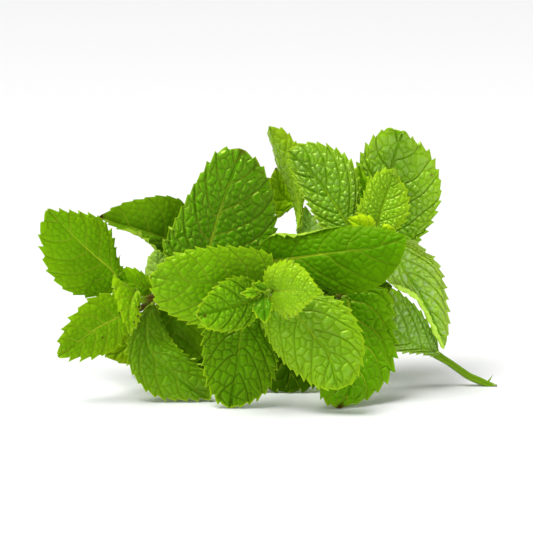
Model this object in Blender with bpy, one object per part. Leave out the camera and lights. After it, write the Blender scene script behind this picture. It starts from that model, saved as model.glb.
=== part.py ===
"""Spearmint sprig: one branched stem with its leaves, lying on a table.

Lengths are millimetres until a mesh is made; the meshes are in metres, +Z up.
The stem, its three side shoots and every leaf are laid out as they are seen
from the front, by an eye a little above the table. Each place is
(across, up, back): across and up are measured in the plane that faces the eye
through the middle of the sprig, back is the depth behind that middle.
A leaf is the surface between three curves: its midrib, its left margin and its
right margin, left and right as its upper side is looked at from base to tip.
"""
import math
from collections import namedtuple

import bmesh
import bpy
import numpy as np
from mathutils import Matrix, Vector

MM = 0.001

# The eye that the layout is written for
EYE_TILT = math.radians(12.0)
EYE_REACH = 650.0
EYE_AIM_HEIGHT = 45.0

# Where the middle of the sprig's outline lies in the layout
CENTRE_ACROSS = 2.43
CENTRE_BACK = 1.0

# Leaf blades: sizes in millimetres, places along a margin as a share of it
BLADE_THICKNESS = 0.7
PETIOLE_WIDTH = 1.2
TIP_WIDTH = 0.6
FIRST_TOOTH = 0.06
TOOTH_RISE = 0.70
TOOTH_ROUNDNESS = 0.8
TOOTH_OUTSIDE = 0.7
TOOTH_LEAN = 0.35
SMALL_TOOTH = 0.3
VEIN_FOOT = 1.5
VEIN_SWEEP = 1.35

# Rows of a blade's mesh, from one margin across the midrib to the other
ACROSS = (-1.0, -0.5, 0.0, 0.5, 1.0)

# Steps that the curves are worked out in
SPAN_STEPS = 33
CURVE_STEPS = 120
RIB_STATIONS = 201
SMOOTHING = 15
RIB_STEP = 0.02
EDGE_STEP = 0.004

# A blade that reaches the table lies on it
FLOOR_GAP = 0.01
FLOOR_PASSES = 4
FLOOR_CATCH = 0.12

# Stem and shoots
STEM_SIDES = 8
STEM_SQUARENESS = 0.07
TRUNK_RINGS = 36
SHOOT_RINGS = 10
RING_TOP = np.array([0.0, -0.3, 1.0])
SHOOT_GAP = 0.3
BUD_LENGTH = 2.6
BUD_WIDTH = 1.6

# Line of the slanting cut through the root of the stem, and how far back it may reach
STEM_CUT = ((78.5, -39.5, 7.0), (80.5, -42.0, 7.0))
CUT_REACH = 2.7

# Nodes of tiny unfolding leaves, and the shoot that each ends
TIPS = {"shoot_tip_front": "front", "shoot_tip_top": "top"}

ROUGHNESS = 0.45
TONES = {
    "young": (0.42, 0.62, 0.04),
    "fresh": (0.18, 0.42, 0.02),
    "deep": (0.08, 0.27, 0.01),
    "dark": (0.03, 0.13, 0.01),
    "dull": (0.17, 0.33, 0.09),
    "stem": (0.20, 0.36, 0.04),
}

Leaf = namedtuple("Leaf", "name stem tone teeth tooth arch rib left right")
Shoot = namedtuple("Shoot", "route root_width tip_width")

SHOOTS = {
    "main": Shoot(
        route=((80.5, -42.5, 7), (77.5, -41.5, 7), (74.5, -40, 7), (71, -38.5, 7), (68, -36.5, 7),
               (64.5, -34, 7), (60.5, -31.5, 7.5), (53.5, -27, 8), (45.5, -21.5, 8.5), (37, -16, 8),
               (29, -11.5, 7), (16, -7, 6), (3, -3.5, 5), (-11, -3, 4), (-23.5, -5, 2),
               (-33, -8, 0), (-40, -11.5, -3), (-46.5, -11.5, -7), (-50, -10.5, -9)),
        root_width=2.7, tip_width=1.7),
    "front": Shoot(
        route=((3.5, -3.5, 5), (2, -5.5, -5), (0.5, -8, -15), (0, -9.5, -25)),
        root_width=2.2, tip_width=1.4),
    "top": Shoot(
        route=((29, -11.5, 7), (32.5, -4.5, 9), (35, 3.5, 7), (37.5, 9, 3), (38.5, 10.5, 0)),
        root_width=2.4, tip_width=1.4),
    "middle": Shoot(
        route=((7, -4.5, 6), (9.5, 1.5, 12), (11.5, 7, 17), (12.5, 13, 21), (12.5, 18.5, 23)),
        root_width=2, tip_width=1.4),
}

LEAVES = (
    Leaf("leaf_front_left_large", "front", "fresh", teeth=11, tooth=1, arch=(0.6, 0.8),
         rib=((-2.5, -8, -19), (-9.5, -7, -21), (-18.5, -6, -23), (-30.5, -5, -24),
              (-41, -3.5, -22)),
         left=((-2.5, -15, -18), (-9.5, -21.5, -21), (-20, -22, -24), (-30.5, -18.5, -24),
               (-38.5, -13, -23)),
         right=((2, -3, -18), (2.5, 2, -18), (-1, 5.5, -18), (-12, 7, -20), (-24.5, 6.5, -21),
                (-35, 3, -22))),
    Leaf("leaf_front_left_small", "front", "fresh", teeth=9, tooth=0.8, arch=(0.6, 0.6),
         rib=((-2, -10.5, -24), (-8, -13, -27), (-15.5, -15, -30), (-24.5, -17, -31)),
         left=((-2.5, -15.5, -25), (-5.5, -20.5, -28), (-11.5, -23, -31), (-17.5, -22.5, -32),
               (-22, -21, -32)),
         right=((-3.5, -6, -24), (-8, -3.5, -27), (-14.5, -4.5, -29), (-20, -9, -30),
                (-23.5, -13.5, -31))),
    Leaf("leaf_front_right_small", "front", "young", teeth=10, tooth=0.7, arch=(0.6, 0.6),
         rib=((2, -8.5, -24), (7, -8.5, -28), (13.5, -8.5, -31), (19.5, -9, -32)),
         left=((-1, -6, -23), (-0.5, -1.5, -24), (2.5, 1, -25), (7.5, 2.5, -27), (13, -0.5, -29),
               (16.5, -5, -31)),
         right=((1.5, -11.5, -24.5), (3, -15.5, -25), (6, -18.5, -26.5), (10, -17.5, -28),
                (13.5, -14, -30), (17, -11, -31))),
    Leaf("leaf_front_right_large", "front", "fresh", teeth=11, tooth=0.9, arch=(0.8, 0.8),
         rib=((1.5, -11.5, -18), (10.5, -17.5, -23), (17.5, -25.5, -26), (22, -31.5, -28),
              (25, -43, -31)),
         left=((11.5, -9.5, -18), (22, -10, -21), (28.5, -14.5, -24), (33.5, -23.5, -27),
               (34, -32.5, -29), (30.5, -40.5, -31)),
         right=((-2, -18, -18), (1, -26.5, -22), (6, -33.5, -25), (13, -39.5, -28), (19.5, -43, -30))),
    Leaf("tip_front_low", "shoot_tip_front", "young", teeth=4, tooth=0.6, arch=(0.5, 0.5),
         rib=((-0.5, -9.5, -28), (-0.5, -14, -32), (-0.5, -20, -34)),
         left=((1, -11.5, -30), (2, -14, -32), (1, -18, -34)),
         right=((-3, -11.5, -29), (-5, -14, -31), (-3.5, -17.5, -33))),
    Leaf("tip_front_left", "shoot_tip_front", "young", teeth=3, tooth=0.5, arch=(0.5, 0.5),
         rib=((-2.5, -9, -29), (-5.5, -9, -32), (-9, -9.5, -34)),
         left=((-4, -10.5, -31), (-6.5, -11, -33)),
         right=((-4.5, -7.5, -31), (-6.5, -7.5, -32.5))),
    Leaf("tip_front_upper", "shoot_tip_front", "young", teeth=3, tooth=0.5, arch=(0.5, 0.5),
         rib=((0, -8.5, -28), (-2.5, -7.5, -30), (-5, -6, -31)),
         left=((-1.5, -9, -30), (-4, -8, -31)),
         right=((0, -6.5, -29), (-2.5, -5, -30))),
    Leaf("leaf_low_front_left", "front", "deep", teeth=10, tooth=1.1, arch=(0.8, 0.8),
         rib=((-2, -13, -13), (-8, -20, -16), (-9.5, -27.5, -19), (-10.5, -37, -20.5),
              (-13, -49.5, -22)),
         left=((-1.5, -19.5, -15), (2.5, -27.5, -17), (4, -35, -19), (0.5, -43.5, -21),
               (-6, -48, -22)),
         right=((-13.5, -17, -14), (-21.5, -21.5, -16), (-22.5, -30, -18), (-21.5, -39.5, -20),
                (-18, -46.5, -21.5))),
    Leaf("leaf_low_front_right", "main", "deep", teeth=10, tooth=1.3, arch=(0.8, 0.8),
         rib=((28, -10.5, -1.5), (30, -18, -7), (31.5, -29, -12), (30, -40.5, -18),
              (25.5, -49.5, -22.5)),
         left=((32.5, -6, -4), (38.5, -6.5, -5.5), (43.5, -10, -7), (45, -20.5, -9),
               (45.5, -30, -11), (43, -39, -14), (35, -46.5, -19)),
         right=((22, -14, -8), (18, -22, -13), (16.5, -33.5, -17), (18, -43, -21), (21, -48, -23))),
    Leaf("leaf_upright_left", "main", "deep", teeth=10, tooth=1, arch=(1, 1),
         rib=((-22, -0.5, 1), (-20, 7, 3), (-16.5, 19, 5), (-13, 29.5, 6), (-8.5, 41, 8)),
         left=((-28, -1, 0), (-36.5, 6, 0), (-32.5, 15.5, 2), (-26.5, 26.5, 5), (-20, 37, 7),
               (-15, 41.5, 8)),
         right=((-14.5, -2, 2), (-1.5, 1.5, 5), (3.5, 13.5, 8), (2.5, 26, 9), (-1.5, 35, 9),
                (-6, 39.5, 8))),
    Leaf("leaf_folded_left", "main", "dark", teeth=8, tooth=0.7, arch=(0.6, 0.8),
         rib=((-29, 6.5, 11), (-34.5, 9.5, 8), (-44.5, 13, 3), (-52, 15, 1), (-58.5, 17.5, 0)),
         left=((-31, 3.5, 9), (-37.5, 5, 4), (-45, 10, -2), (-53, 13.5, -1)),
         right=((-27, 14.5, 13), (-29, 22.5, 14), (-36, 25, 11), (-43, 24, 7), (-50.5, 22, 4))),
    Leaf("leaf_far_left_upper", "main", "fresh", teeth=9, tooth=1, arch=(0.8, 0.8),
         rib=((-52.5, -4, -6), (-54.5, -1, -6), (-61, 4.5, -8), (-67.5, 10.5, -11),
              (-76.5, 20, -14)),
         left=((-54, -9, -5), (-59.5, -11, -6), (-70, -8.5, -9), (-77, -0.5, -12), (-79.5, 11, -14),
               (-78, 17.5, -14)),
         right=((-50, -1, -4), (-52.5, 6, -4), (-54, 12, -5), (-58.5, 17.5, -7), (-68, 19.5, -11))),
    Leaf("leaf_far_left_lower", "main", "young", teeth=7, tooth=1.1, arch=(0.6, 0.6),
         rib=((-51, -17, -12), (-53.5, -18.5, -13), (-60, -22, -15), (-66.5, -27, -16),
              (-73, -31.5, -17)),
         left=((-48, -19.5, -12), (-49, -24, -13), (-52, -28, -14), (-56, -30.5, -15),
               (-62.5, -32.5, -16), (-69, -32.5, -17)),
         right=((-50.5, -10, -11), (-54.5, -9, -11.5), (-60.5, -10.5, -13), (-67.5, -16.5, -15),
                (-72.5, -25, -17))),
    Leaf("leaf_far_left_hanging", "main", "fresh", teeth=5, tooth=0.8, arch=(0.5, 0.5),
         rib=((-45.5, -8, -13), (-47, -11.5, -17), (-48, -17.5, -19), (-47.5, -24, -20)),
         left=((-43.5, -10.5, -14.5), (-44.5, -15.5, -17.5), (-44.5, -19.5, -19)),
         right=((-49.5, -6.5, -15), (-54, -3.5, -16), (-52.5, -12.5, -18.5), (-50, -19.5, -20))),
    Leaf("leaf_far_left_inner", "main", "deep", teeth=5, tooth=0.7, arch=(0.5, 0.5),
         rib=((-40, -8, 0.5), (-46, -6, -2.5), (-54, -3.5, -3)),
         left=((-40.5, -11, 1), (-45, -10.5, -1.5), (-51, -7, -3.5)),
         right=((-40, -4.5, 0.5), (-45.5, -1, -1), (-50.5, -0.5, -2))),
    Leaf("leaf_low_left_large", "main", "fresh", teeth=11, tooth=0.9, arch=(0.8, 0.8),
         rib=((-40, -13, -5), (-42, -19, -8), (-41, -29, -11), (-35, -35.5, -13),
              (-27.5, -42, -14), (-19.5, -46.5, -14)),
         left=((-38.5, -14, -5), (-35.5, -21, -5), (-31, -28.5, -7), (-23.5, -34, -10),
               (-19, -40.5, -13)),
         right=((-43, -15, -7.5), (-48, -24, -12), (-49, -32.5, -14), (-44.5, -41, -15),
                (-37.5, -46, -15), (-27, -47, -15))),
    Leaf("leaf_low_left_behind", "main", "deep", teeth=5, tooth=0.6, arch=(0.5, 0.5),
         rib=((-38.5, -15.5, 1), (-43.5, -22, 0), (-50, -29, -2), (-56.5, -31.5, -4.5)),
         left=((-38.5, -25.5, 0), (-45, -33.5, -2), (-50.5, -34, -3)),
         right=((-45, -16, 1), (-51, -21, 0), (-55, -27, -2))),
    Leaf("leaf_inner_left", "main", "dark", teeth=6, tooth=0.8, arch=(0.5, 0.5),
         rib=((-32.5, -11, 4), (-33.5, -17, 6), (-32.5, -27, 7), (-30.5, -35, 6)),
         left=((-27, -13.5, 5), (-20.5, -20.5, 4), (-20.5, -31, 4)),
         right=((-38.5, -12.5, 4), (-41, -20.5, 6), (-37.5, -29, 7))),
    Leaf("leaf_inner_low", "main", "dark", teeth=5, tooth=0.8, arch=(0.5, 0.5),
         rib=((-19, -9, 8), (-20, -17, 12), (-21.5, -27.5, 13), (-22.5, -41, 12)),
         left=((-14, -16, 12), (-14, -29, 13)),
         right=((-26, -16, 13), (-29, -29, 14))),
    Leaf("leaf_curled_top", "middle", "dark", teeth=5, tooth=0.6, arch=(0.5, 0.5),
         rib=((10.5, 22, 27), (7.5, 23, 29), (4.5, 27, 29), (3.5, 34.5, 28)),
         left=((8, 19.5, 28), (3.5, 17.5, 27), (1, 24, 26), (1, 30.5, 26)),
         right=((9, 27, 30), (6, 31, 30))),
    Leaf("leaf_narrow_top", "middle", "fresh", teeth=9, tooth=0.8, arch=(0.3, 0.6),
         rib=((11, 12, 14), (11.5, 19, 16), (9.5, 28, 18), (6, 37, 19), (3, 43, 20), (1, 49, 20)),
         left=((10.5, 16.5, 19), (9, 23.5, 23), (4.5, 32.5, 25), (1.5, 42.5, 25), (0.5, 46.5, 23)),
         right=((12.5, 15.5, 15), (13, 21.5, 15), (13.5, 30.5, 14), (13, 37.5, 15), (10.5, 43, 17),
                (6, 48, 19))),
    Leaf("leaf_broad_top", "top", "fresh", teeth=10, tooth=0.8, arch=(0.6, 1.5),
         rib=((30.5, 12, 2), (24.5, 21, 5), (19, 29, 8), (13.5, 35, 10), (7.5, 40.5, 12)),
         left=((25.5, 11.5, 1), (19.5, 14, 3), (14, 22, 6), (11, 28, 9), (8, 35, 12)),
         right=((31.5, 18, 3), (33, 27, 6), (31, 35, 9), (25, 41, 12), (18, 43.5, 13),
                (11.5, 43, 13))),
    Leaf("leaf_sliver_top", "top", "deep", teeth=4, tooth=0.6, arch=(0.5, 0.5),
         rib=((31.5, 14, 8), (33.5, 21.5, 10), (34, 28, 12), (32, 35.5, 13)),
         left=((29.5, 19, 10), (30, 28.5, 13)),
         right=((34.5, 19, 9), (36.5, 29, 11))),
    Leaf("leaf_upright_right", "top", "fresh", teeth=11, tooth=1, arch=(1, 1),
         rib=((42, 7, 13), (42.5, 18, 15), (43, 28.5, 16), (44.5, 38, 17), (48, 48, 16)),
         left=((35, 10, 14), (30.5, 21.5, 16), (31, 33, 16), (34.5, 42, 16), (39, 46.5, 16),
               (43, 49, 16)),
         right=((48.5, 5, 12), (54.5, 10, 13), (59.5, 19, 15), (61, 29.5, 17), (57.5, 39.5, 18),
                (51.5, 44.5, 17))),
    Leaf("leaf_young_top", "top", "young", teeth=8, tooth=0.9, arch=(0.6, 0.6),
         rib=((38.5, 13.5, 1), (40, 19, 3), (42, 25.5, 5), (45, 34, 6)),
         left=((34, 14, 1), (31.5, 19, 2), (33.5, 24.5, 4), (36, 30.5, 6), (40.5, 34, 7)),
         right=((43, 11.5, 0), (48, 15, 1), (50, 21, 3), (49, 27, 5), (46.5, 31, 7))),
    Leaf("tip_top_left", "shoot_tip_top", "young", teeth=3, tooth=0.5, arch=(0.5, 0.5),
         rib=((37.5, 12, -2.5), (33.5, 14, -3.5), (28, 17, -3)),
         left=((35, 11, -4), (30.5, 13.5, -4)),
         right=((38, 16.5, -3), (33.5, 18.5, -3))),
    Leaf("tip_top_right", "shoot_tip_top", "young", teeth=3, tooth=0.5, arch=(0.5, 0.5),
         rib=((39.5, 11.5, -3), (42.5, 12.5, -5), (45.5, 13, -5)),
         left=((41, 15, -4), (43.5, 14.5, -5)),
         right=((41.5, 10, -6), (44, 10.5, -6))),
    Leaf("leaf_dull_top", "middle", "dull", teeth=4, tooth=0.6, arch=(0.5, 0.5),
         rib=((15.5, 10, 16.5), (15, 14.5, 17.5), (13.5, 21, 18.5)),
         left=((12.5, 10, 17), (12, 16.5, 18)),
         right=((21.5, 10, 17), (17.5, 16.5, 18))),
    Leaf("leaf_long_middle", "main", "deep", teeth=11, tooth=0.9, arch=(0.8, 0.8),
         rib=((-1, 1.5, -1), (6.5, 2.5, -5), (17, 4, -9), (29, 5.5, -13), (39, 7, -15),
              (49, 10.5, -16)),
         left=((-3, 6.5, -3), (3, 11.5, -4), (11.5, 11.5, -5), (25.5, 14, -8), (38, 14, -12),
               (46, 12, -15)),
         right=((6.5, -6, -8), (18.5, -8, -10), (29, -9.5, -13), (39, -7, -15), (45.5, -0.5, -16),
                (48.5, 6, -17))),
    Leaf("leaf_hanging_right", "top", "fresh", teeth=9, tooth=0.9, arch=(0.8, 0.3),
         rib=((44.5, 5, 2), (48, -1, 3), (53, -9, 4), (57.5, -17.5, 5), (60.5, -24.5, 5.5),
              (62, -28.5, 5.5)),
         left=((50, 9.5, 2), (55, 6.5, 4), (61, -0.5, 6), (63.5, -12, 7.5), (63.5, -23.5, 7)),
         right=((41.5, 1, -1), (42, -4.5, -1), (48, -9, -0.5), (52.5, -12, 1), (56.5, -18.5, 2),
                (59, -24.5, 4))),
    Leaf("leaf_low_right", "main", "deep", teeth=8, tooth=0.7, arch=(0.6, 0.8),
         rib=((60, -30, 5), (56.5, -29, 4.5), (49.5, -25.5, 3), (39, -18.5, 1)),
         left=((58.5, -31.5, 3), (53.5, -30.5, 2), (46.5, -30, 0), (41.5, -27.5, 0)),
         right=((60, -27, 6.5), (57.5, -21, 7.5), (53.5, -15, 7), (48, -10, 6.5), (43.5, -7.5, 5),
                (41, -10.5, 4))),
    Leaf("leaf_low_middle", "main", "dark", teeth=8, tooth=1, arch=(0.5, 0.5),
         rib=((6, -11.5, 5), (7, -20.5, 5), (8, -32.5, 1), (8, -44, -3)),
         left=((11.5, -17, 4), (18, -29, 1), (19.5, -38, -2), (15, -43, -3)),
         right=((0.5, -17, 5), (-3.5, -27.5, 3), (-3.5, -37, 0), (0, -43, -2.5))),
    Leaf("leaf_inner_far_left", "main", "dull", teeth=4, tooth=0.4, arch=(0.5, 0.5),
         rib=((-35, -4, 4), (-37.5, 1, 7), (-37.5, 6.5, 9)),
         left=((-41.5, -5.5, 6), (-42.5, -2, 8), (-41, 4, 9)),
         right=((-33, -0.5, 9), (-34.5, 4.5, 10))),
    Leaf("leaf_inner_middle", "main", "dark", teeth=5, tooth=0.6, arch=(0.5, 0.5),
         rib=((13, -10.5, 2), (18, -9.5, 2), (25, -8, 2)),
         left=((13.5, -4.5, 2), (19.5, -3.5, 2)),
         right=((17, -15, 0), (22.5, -14, 0))),
    Leaf("leaf_inner_right", "main", "dark", teeth=4, tooth=0.6, arch=(0.5, 0.5),
         rib=((33.5, -10.5, 2), (39, -8, 1), (44, -7, 1)),
         left=((36, -4.5, 2), (41, -4.5, 2)),
         right=((38, -11.5, 1), (42, -10.5, 1))),
    Leaf("leaf_back_upright", "main", "deep", teeth=8, tooth=0.9, arch=(0.6, 0.6),
         rib=((-11.5, 0, 10), (-10.5, 7.5, 20), (-10, 15.5, 29), (-9.5, 24, 34)),
         left=((-1.5, 5, 18), (1, 14.5, 28), (-3, 21.5, 34)),
         right=((-20.5, 6, 18), (-21, 15.5, 29), (-15.5, 22, 34))),
    Leaf("leaf_back_low_left", "main", "deep", teeth=8, tooth=0.9, arch=(0.6, 0.6),
         rib=((-13.5, -8, 10), (-13.5, -16, 19), (-14, -26.5, 26), (-14.5, -35, 30),
              (-15, -36, 35)),
         left=((-22, -15, 20), (-25.5, -25.5, 27), (-22, -35, 31)),
         right=((-6, -16, 20), (-4.5, -26.5, 27), (-7.5, -35, 31))),
    Leaf("leaf_back_low_right", "main", "deep", teeth=8, tooth=0.9, arch=(0.6, 0.6),
         rib=((24, -14, 13), (25, -19.5, 20), (25.5, -28, 27), (25.5, -35, 31), (25.5, -35.5, 36)),
         left=((17.5, -18, 20), (14.5, -28, 28), (18, -34.5, 32.5)),
         right=((32.5, -18, 20), (36, -28, 28), (33.5, -34.5, 32.5))),
    Leaf("leaf_back_top_right", "top", "fresh", teeth=8, tooth=0.9, arch=(0.6, 0.6),
         rib=((38.5, 4.5, 13), (42.5, 9.5, 22), (46.5, 18, 31), (49.5, 27, 36)),
         left=((46.5, 4.5, 20), (55, 13, 28), (56.5, 21.5, 34)),
         right=((35.5, 12, 22), (38.5, 22.5, 32), (44, 27.5, 36))),
    Leaf("leaf_back_top_middle", "main", "deep", teeth=8, tooth=0.9, arch=(0.6, 0.6),
         rib=((25, -5.5, 12), (24.5, 1.5, 22), (24, 11, 31), (23.5, 21, 35)),
         left=((31.5, 1.5, 20), (33.5, 11, 30), (30, 19, 35)),
         right=((18.5, 1.5, 22), (18, 10.5, 32), (18.5, 19, 35))),
    Leaf("leaf_back_far_left", "main", "deep", teeth=8, tooth=0.9, arch=(0.6, 0.6),
         rib=((-50.5, -8, 3), (-55.5, -4.5, 11.5), (-62.5, 1, 18.5), (-69.5, 7, 23)),
         left=((-54, 0, 9), (-58.5, 8, 16.5), (-65.5, 12, 22)),
         right=((-57, -9.5, 8), (-67.5, -7, 18), (-73.5, 0, 24))),
    Leaf("leaf_back_low_far_left", "main", "deep", teeth=8, tooth=0.9, arch=(0.6, 0.6),
         rib=((-41.5, -15, 8), (-41.5, -20, 14), (-39.5, -29, 19), (-38, -37, 23),
              (-37.5, -38, 27.5)),
         left=((-34, -19.5, 15), (-29, -29, 20), (-31.5, -37, 25)),
         right=((-46.5, -21, 13), (-49, -29, 19), (-44, -37, 24.5))),
)


def seen(place):
    """Layout place (across, up, back) to x, y, z in millimetres."""
    across, up, back = place
    ahead = np.array([0.0, math.cos(EYE_TILT), -math.sin(EYE_TILT)])
    above = np.array([0.0, math.sin(EYE_TILT), math.cos(EYE_TILT)])
    eye = np.array([0.0, 0.0, EYE_AIM_HEIGHT]) - EYE_REACH * ahead
    ray = EYE_REACH * ahead + above * up
    ray[0] = across
    point = eye + ray * (back - eye[1]) / ray[1]
    return point - np.array([CENTRE_ACROSS, CENTRE_BACK, 0.0])


def unit(vectors):
    """Vectors of length one along the last axis."""
    return vectors / np.maximum(np.linalg.norm(vectors, axis=-1, keepdims=True), 1e-9)


def smooth_curve(points):
    """Even steps along the Catmull-Rom curve through the points, and its length."""
    points = [np.asarray(p, float) for p in points]
    ends = [2 * points[0] - points[1]] + points + [2 * points[-1] - points[-2]]
    run = []
    for a, b, c, d in zip(ends, ends[1:], ends[2:], ends[3:]):
        t = np.linspace(0.0, 1.0, SPAN_STEPS)[:, None]
        run.append(0.5 * (2 * b + (c - a) * t + (2 * a - 5 * b + 4 * c - d) * t ** 2
                          + (3 * b - a - 3 * c + d) * t ** 3))
    run = np.concatenate(run)
    length = np.concatenate([[0.0], np.cumsum(np.linalg.norm(np.diff(run, axis=0), axis=1))])
    even = np.linspace(0.0, length[-1], CURVE_STEPS + 1)
    return np.stack([np.interp(even, length, run[:, k]) for k in range(3)], -1), length[-1]


def sample(curve, at):
    """Value of an evenly stepped curve at 0..1."""
    at = np.clip(at, 0.0, 1.0) * (len(curve) - 1)
    low = np.minimum(at.astype(int), len(curve) - 2)
    part = at - low
    if curve.ndim == 2:
        part = part[..., None]
    return curve[low] * (1 - part) + curve[low + 1] * part


def shoot_axis(name):
    """The curve along the middle of a shoot, and its half width along it."""
    shoot = SHOOTS[name]
    axis, _ = smooth_curve([seen(place) for place in shoot.route])
    half = np.linspace(shoot.root_width, shoot.tip_width, len(axis)) / 2
    return axis, half


def bud_place(name):
    """Middle of the bud beyond a shoot's end, and the way it points."""
    axis, _ = shoot_axis(name)
    run = unit(axis[-1] - axis[-3])
    return axis[-1] + run * (BUD_LENGTH / 2 + SHOOT_GAP), run


class Blade:
    """The surface of one leaf, from its place on the stem to its tip."""

    def __init__(self, leaf):
        self.leaf = leaf
        rib = [seen(place) for place in leaf.rib]
        if leaf.stem in TIPS:
            start, _ = bud_place(TIPS[leaf.stem])
        else:
            axis, half = shoot_axis(leaf.stem)
            nearest = np.linalg.norm(axis - rib[0], axis=1).argmin()
            outward = unit(rib[0] - axis[nearest])
            clear = half[nearest] * (1 + STEM_SQUARENESS) + SHOOT_GAP + BLADE_THICKNESS / 2
            start = axis[nearest] + outward * clear
        self.curve, length = smooth_curve([start] + rib)
        self.neck = np.linalg.norm(rib[0] - start) / length
        base = self.rib(np.array(0.0))
        self.margins, self.beside = [], []
        stations = np.linspace(0.0, 1.0, RIB_STATIONS)
        along = self.rib(stations)
        for side in (leaf.left, leaf.right):
            margin, _ = smooth_curve([base] + [seen(p) for p in side] + [rib[-1]])
            apart = np.linalg.norm(margin[:, None] - along[None], axis=2)
            beside = np.maximum.accumulate(stations[apart.argmin(axis=1)])
            beside[0], beside[-1] = 0.0, 1.0
            window = np.hanning(SMOOTHING) / np.hanning(SMOOTHING).sum()
            beside = np.convolve(np.pad(beside, SMOOTHING // 2, mode="edge"), window, "valid")
            self.margins.append(margin)
            self.beside.append(beside)
        self.half_width = [np.linalg.norm(m - self.rib(b), axis=1).max()
                           for m, b in zip(self.margins, self.beside)]

    def rib(self, at):
        """Point on the midrib, 0 at the blade's base and 1 at its tip."""
        return sample(self.curve, self.neck + at * (1 - self.neck))

    def rib_run(self, at):
        """Direction of the midrib."""
        return unit(self.rib(np.clip(at + RIB_STEP, 0, 1)) - self.rib(np.clip(at - RIB_STEP, 0, 1)))

    def saw(self, at):
        """Height of the toothed edge, in teeth: slow rise, quick fall, smaller at both ends."""
        step = np.clip((at - FIRST_TOOTH) / (1 - FIRST_TOOTH), 0, 1) * self.leaf.teeth
        step = np.where(at >= 1, 0, step % 1.0)
        rise = (step / TOOTH_RISE) ** TOOTH_ROUNDNESS
        fall = 1 - (step - TOOTH_RISE) / (1 - TOOTH_RISE)
        height = np.where(step < TOOTH_RISE, rise, fall) - TOOTH_OUTSIDE
        height = np.where(at < FIRST_TOOTH, TOOTH_OUTSIDE - 1, height)
        at_base = np.clip((at - FIRST_TOOTH) * 5 + SMALL_TOOTH, 0, 1)
        at_tip = np.clip((1 - at) * 8 + SMALL_TOOTH, 0, 1)
        return height * at_base * at_tip

    def half(self, at, across, k):
        """Points of one half, at 0..1 along the margin and 0..1 out from the midrib."""
        sign = 1 if k == 0 else -1
        margin = sample(self.margins[k], at)
        run = unit(sample(self.margins[k], at + EDGE_STEP) - sample(self.margins[k], at - EDGE_STEP))
        beside = sample(self.beside[k], at)
        root = self.rib(beside)
        forward = self.rib_run(beside)
        middle = self.margins[k][CURVE_STEPS // 2] - self.rib(self.beside[k][CURVE_STEPS // 2])
        broad = unit(middle - (forward @ middle)[:, None] * forward)
        side = margin - root
        reach = np.linalg.norm(side, axis=1)[:, None]
        least = (PETIOLE_WIDTH * (1 - at) + TIP_WIDTH * at)[:, None] / 2
        normal = unit(np.cross(forward, np.where(reach > least, side, broad)) * sign)
        out = unit(np.cross(normal, run) * sign)
        edge = margin + (out + TOOTH_LEAN * run) * (self.leaf.tooth * self.saw(at))[:, None]
        edge += broad * np.maximum(0, least - np.linalg.norm(edge - root, axis=1)[:, None])
        foot = at ** VEIN_FOOT * (1 - across ** VEIN_SWEEP) + beside * across ** VEIN_SWEEP
        breadth = np.clip(reach[:, 0] / self.half_width[k], 0, 1)
        arch = 4 * self.leaf.arch[k] * across * (1 - across) * breadth
        return self.rib(foot) + (edge - root) * across[:, None] + normal * arch[:, None]

    def columns(self):
        """Where the mesh is cut along the margin: base, each notch and tooth, tip."""
        notch = FIRST_TOOTH + (1 - FIRST_TOOTH) * np.arange(self.leaf.teeth) / self.leaf.teeth
        point = notch + (1 - FIRST_TOOTH) * TOOTH_RISE / self.leaf.teeth
        return np.concatenate([[0.0], np.stack([notch, point], -1).ravel(), [1.0]])

    def grid(self):
        """Points by column and row, the first column at the stem."""
        at, across = np.meshgrid(self.columns(), ACROSS, indexing="ij")
        points = np.zeros(at.shape + (3,))
        for k, half in ((0, across >= 0), (1, across < 0)):
            points[half] = self.half(at[half], np.abs(across[half]), k)
        return np.concatenate([(points[0] + self.curve[0] - self.rib(np.array(0.0)))[None], points])


def material(name, tone):
    """Plain leaf or stem material."""
    made = bpy.data.materials.new(name)
    made.use_nodes = True
    shader = made.node_tree.nodes["Principled BSDF"]
    shader.inputs["Base Color"].default_value = (*TONES[tone], 1.0)
    shader.inputs["Roughness"].default_value = ROUGHNESS
    shader.inputs["Metallic"].default_value = 0.0
    return made


def add_object(name, mesh_data, tone):
    """Object with its own material, linked to the scene."""
    piece = bpy.data.objects.new(name, mesh_data)
    bpy.context.scene.collection.objects.link(piece)
    mesh_data.materials.append(material(name, tone))
    return piece


def applied(piece):
    """The piece's mesh with its modifiers applied, which then leave the piece."""
    evaluated = piece.evaluated_get(bpy.context.evaluated_depsgraph_get())
    result = bpy.data.meshes.new_from_object(evaluated)
    result.name = piece.name
    piece.modifiers.clear()
    return result


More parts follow.
